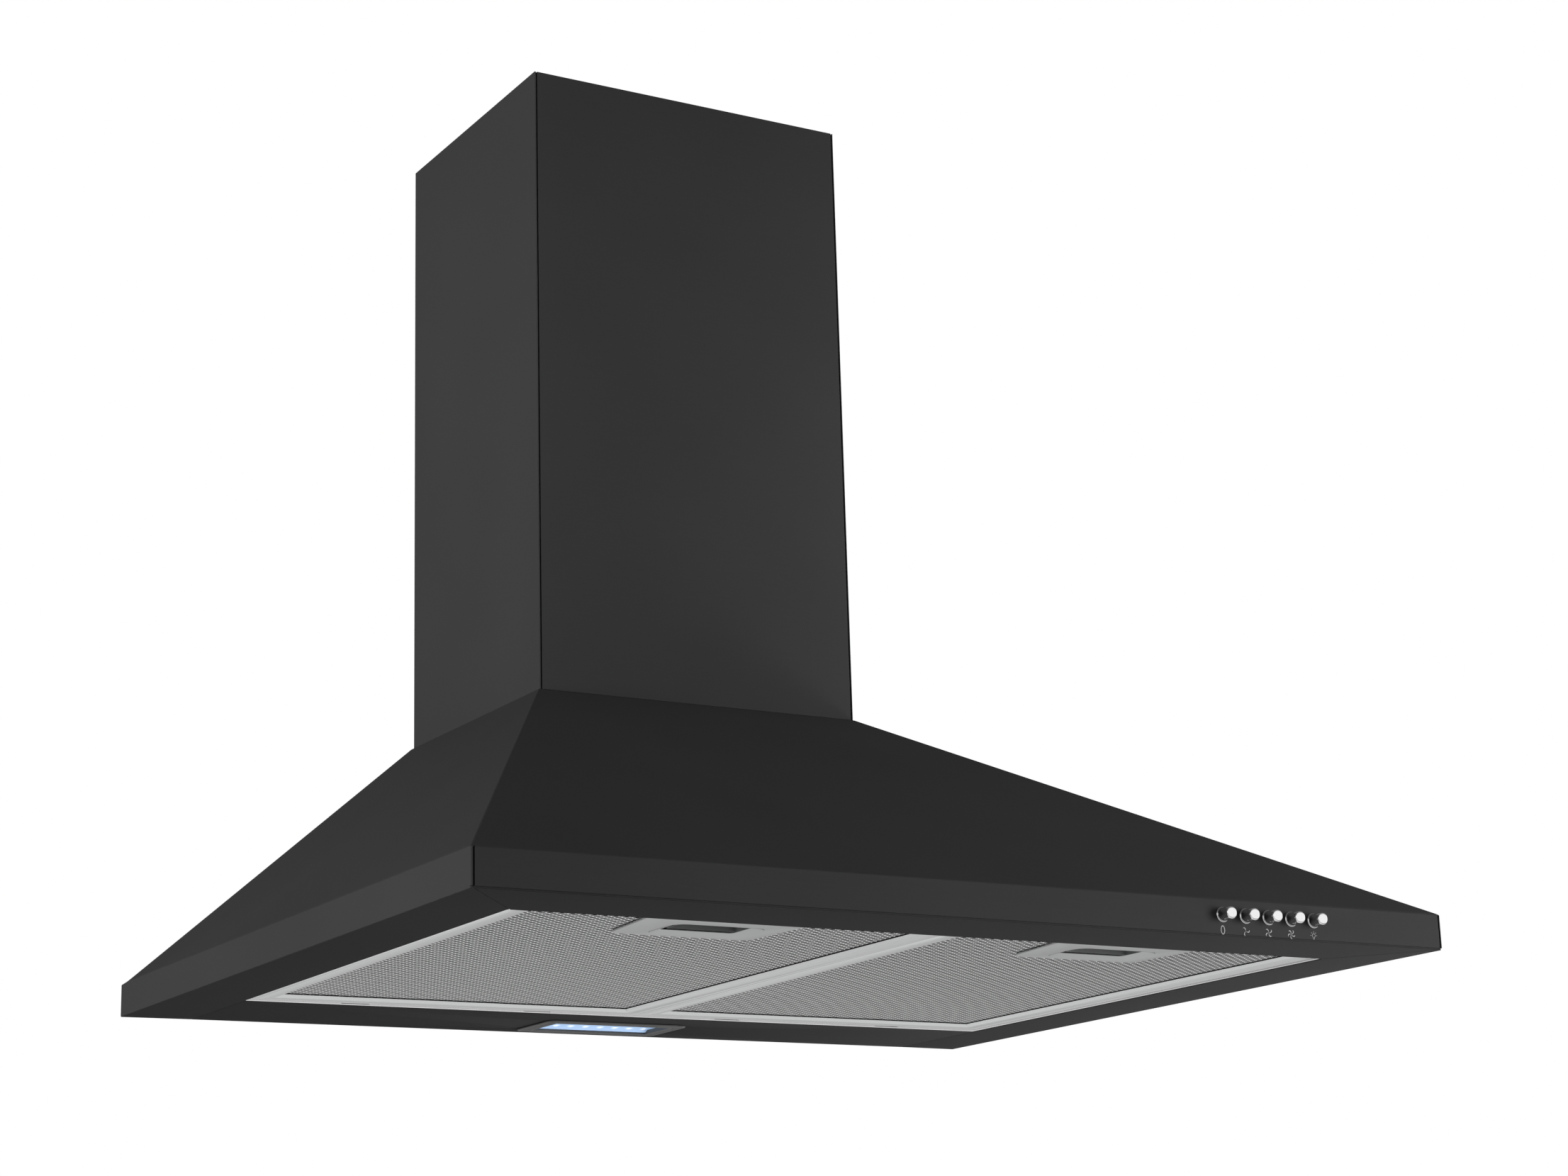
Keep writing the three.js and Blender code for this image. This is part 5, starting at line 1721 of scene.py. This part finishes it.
@dataclass
class Studio:
    """Camera, floor, lamps and surround."""

    azimuth: float = 30.86      # degrees to the left of straight ahead
    elevation: float = 14.96    # degrees that the camera looks up
    roll: float = -1.69
    place: Point3 = (-897.7, -1792.8, -238.3)   # of the camera, in the hood's own millimetres
    lens: float = 70.39
    sensor: float = 36.0
    clip: Point2 = (0.05, 60.0)         # nearest and farthest that the camera sees, in metres
    floor_half: float = 9.0             # half the floor's width in metres
    floor_drop: float = 760.0           # from the rim down to the floor, in millimetres
    floor_glow: float = 0.8     # share of the floor's brightness to the eye that no lamp gives
    floor_near: float = 0.72    # how bright metal sees the floor below the hood
    floor_far: float = 0.32     # and several metres away
    floor_fade: Point2 = (1.5, 4.5)     # where that changes, in metres from the hood
    ceiling: Point2 = (0.27, 0.42)      # it begins between these sines of the angle above level
    ceiling_mirrored: float = 0.08      # how bright metal sees the ceiling
    wall: Point2 = (0.0, 0.6)           # it begins between these sines of the angle to the back
    wall_mirrored: float = 0.2          # how bright the enamel's sheen sees the wall
    ambient: float = 0.12
    soft_boxes: tuple[SoftBox, ...] = (
        SoftBox("left_box", (-3.2, -0.5, 0.1), (0.0, -0.2, 0.1), (1.6, 1.6), 121),
        SoftBox("right_near_box", (0.95, -1.5, -0.1), (0.2, -0.4, 0.0), (0.6, 0.6), 20.7),
        SoftBox("low_right_box", (0.9, -0.5, -0.72), (0.2, -0.4, -0.14), (0.8, 0.8), 13.3),
        SoftBox("right_box", (3.2, 0.1, 0.4), (0.3, -0.1, 0.1), (1.6, 1.6), 80),
        SoftBox("back_box", (1.0, 3.0, 0.6), (0.0, 0.0, 0.1), (1.6, 1.6), 80),
    )

    def camera(self) -> None:
        """Sets the camera where the photograph was taken from."""
        data = bpy.data.cameras.new("camera")
        data.lens = self.lens
        data.sensor_width = self.sensor
        data.clip_start, data.clip_end = self.clip
        made = linked("camera", data)
        made.location = metres(*self.place)
        turn = Matrix.Rotation(math.radians(-self.azimuth), 4, "Z")
        tilt = Matrix.Rotation(math.radians(90 + self.elevation), 4, "X")
        roll = Matrix.Rotation(math.radians(self.roll), 4, "Z")
        made.rotation_euler = (turn @ tilt @ roll).to_euler()
        bpy.context.scene.camera = made

    def floor(self) -> None:
        """Makes a plain pale floor below the hood."""
        half, z = self.floor_half, (RIM_BOTTOM - self.floor_drop) * MM
        mesh = bpy.data.meshes.new("floor")
        corners = rectangle(-half, half, -half, half)
        mesh.from_pydata([(x, y, z) for x, y in corners], [], [(0, 1, 2, 3)])
        made = linked("floor", mesh)
        material = bpy.data.materials.new("pale_floor")
        material.use_nodes = True
        tree = material.node_tree
        tree.nodes.clear()
        ray = add_node(tree, "ShaderNodeLightPath")
        # the light that it sends up is that of a darker worktop
        worktop = add_node(tree, "ShaderNodeBsdfDiffuse", {"Color": linear("7A7A7A")})
        # pale to the eye all over, with the shadow of the hood, and not there when seen from below
        lit = add_node(tree, "ShaderNodeBsdfDiffuse", {"Color": linear("E2E2E0")})
        glow = add_node(tree, "ShaderNodeEmission", {"Color": linear("F2F2F0")})
        pale = add_node(tree, "ShaderNodeMixShader", {0: self.floor_glow, 1: lit, 2: glow})
        side = add_node(tree, "ShaderNodeNewGeometry")
        clear = add_node(tree, "ShaderNodeBsdfTransparent")
        shown = add_node(tree, "ShaderNodeMixShader", {0: side.outputs["Backfacing"], 1: pale, 2: clear})
        matt = add_node(tree, "ShaderNodeMixShader", {
            0: ray.outputs["Is Camera Ray"], 1: worktop, 2: shown})
        # metal sees it darken with the distance from the hood
        place = add_node(tree, "ShaderNodeTexCoord")
        away = add_node(tree, "ShaderNodeVectorMath", {0: place.outputs["Object"]}, operation="LENGTH")
        level = add_node(tree, "ShaderNodeMapRange", {
            "Value": away.outputs["Value"], "From Min": self.floor_fade[0], "From Max": self.floor_fade[1],
            "To Min": self.floor_near, "To Max": self.floor_far})
        mirrored = add_node(tree, "ShaderNodeEmission", {"Strength": level})
        shader = add_node(tree, "ShaderNodeMixShader", {
            0: ray.outputs["Is Glossy Ray"], 1: matt, 2: mirrored})
        add_node(tree, "ShaderNodeOutputMaterial", {"Surface": shader})
        mesh.materials.append(material)

    def world(self) -> None:
        """Makes the surround: white to the eye and to metal, and a soft grey light on the hood."""
        scene = bpy.context.scene
        scene.world = bpy.data.worlds.new("surround")
        scene.world.use_nodes = True
        tree = scene.world.node_tree
        tree.nodes.clear()
        ray = add_node(tree, "ShaderNodeLightPath")
        place = add_node(tree, "ShaderNodeTexCoord")
        height = add_node(tree, "ShaderNodeSeparateXYZ", {0: place.outputs["Generated"]})
        # metal sees the white surround up to the lamps and the dark ceiling above them
        ceiling = add_node(tree, "ShaderNodeMapRange", {
            "Value": height.outputs["Z"], "From Min": self.ceiling[0], "From Max": self.ceiling[1],
            "To Min": 1.0, "To Max": self.ceiling_mirrored})
        mirrored = add_node(tree, "ShaderNodeMath", {
            0: ray.outputs["Is Glossy Ray"], 1: ray.outputs["Is Transmission Ray"]}, operation="MAXIMUM")
        wall = add_node(tree, "ShaderNodeMapRange", {
            "Value": height.outputs["Y"], "From Min": self.wall[0], "From Max": self.wall[1],
            "To Min": 1.0, "To Max": self.wall_mirrored})
        bright = add_node(tree, "ShaderNodeMath", {0: wall, 1: ceiling}, operation="MULTIPLY")
        seen = add_node(tree, "ShaderNodeMath", {0: mirrored, 1: bright}, operation="MULTIPLY")
        shown = add_node(tree, "ShaderNodeMath", {
            0: ray.outputs["Is Camera Ray"], 1: seen}, operation="MAXIMUM")
        strength = add_node(tree, "ShaderNodeMath", {0: shown, 1: self.ambient}, operation="MAXIMUM")
        light = add_node(tree, "ShaderNodeBackground", {"Color": (1, 1, 1, 1), "Strength": strength})
        add_node(tree, "ShaderNodeOutputWorld", {"Surface": light})

    def build(self) -> None:
        """Sets up the whole studio."""
        self.camera()
        self.floor()
        for soft_box in self.soft_boxes:
            soft_box.hang()
        self.world()
        bpy.context.scene.view_settings.view_transform = "Standard"


def main() -> None:
    """Builds the hood and its studio."""
    Studio().build()
    shop = Workshop()
    Canopy(shop).build()
    Chimney(shop).build()
    for side in ("left", "right"):
        FilterCassette(shop, side).build()
    PushButtons(shop).build()
    Lamp(shop).build()
    Blower(shop).build()
    Outlet(shop).build()
    Electrics(shop).build()


if __name__ == "__main__":
    main()
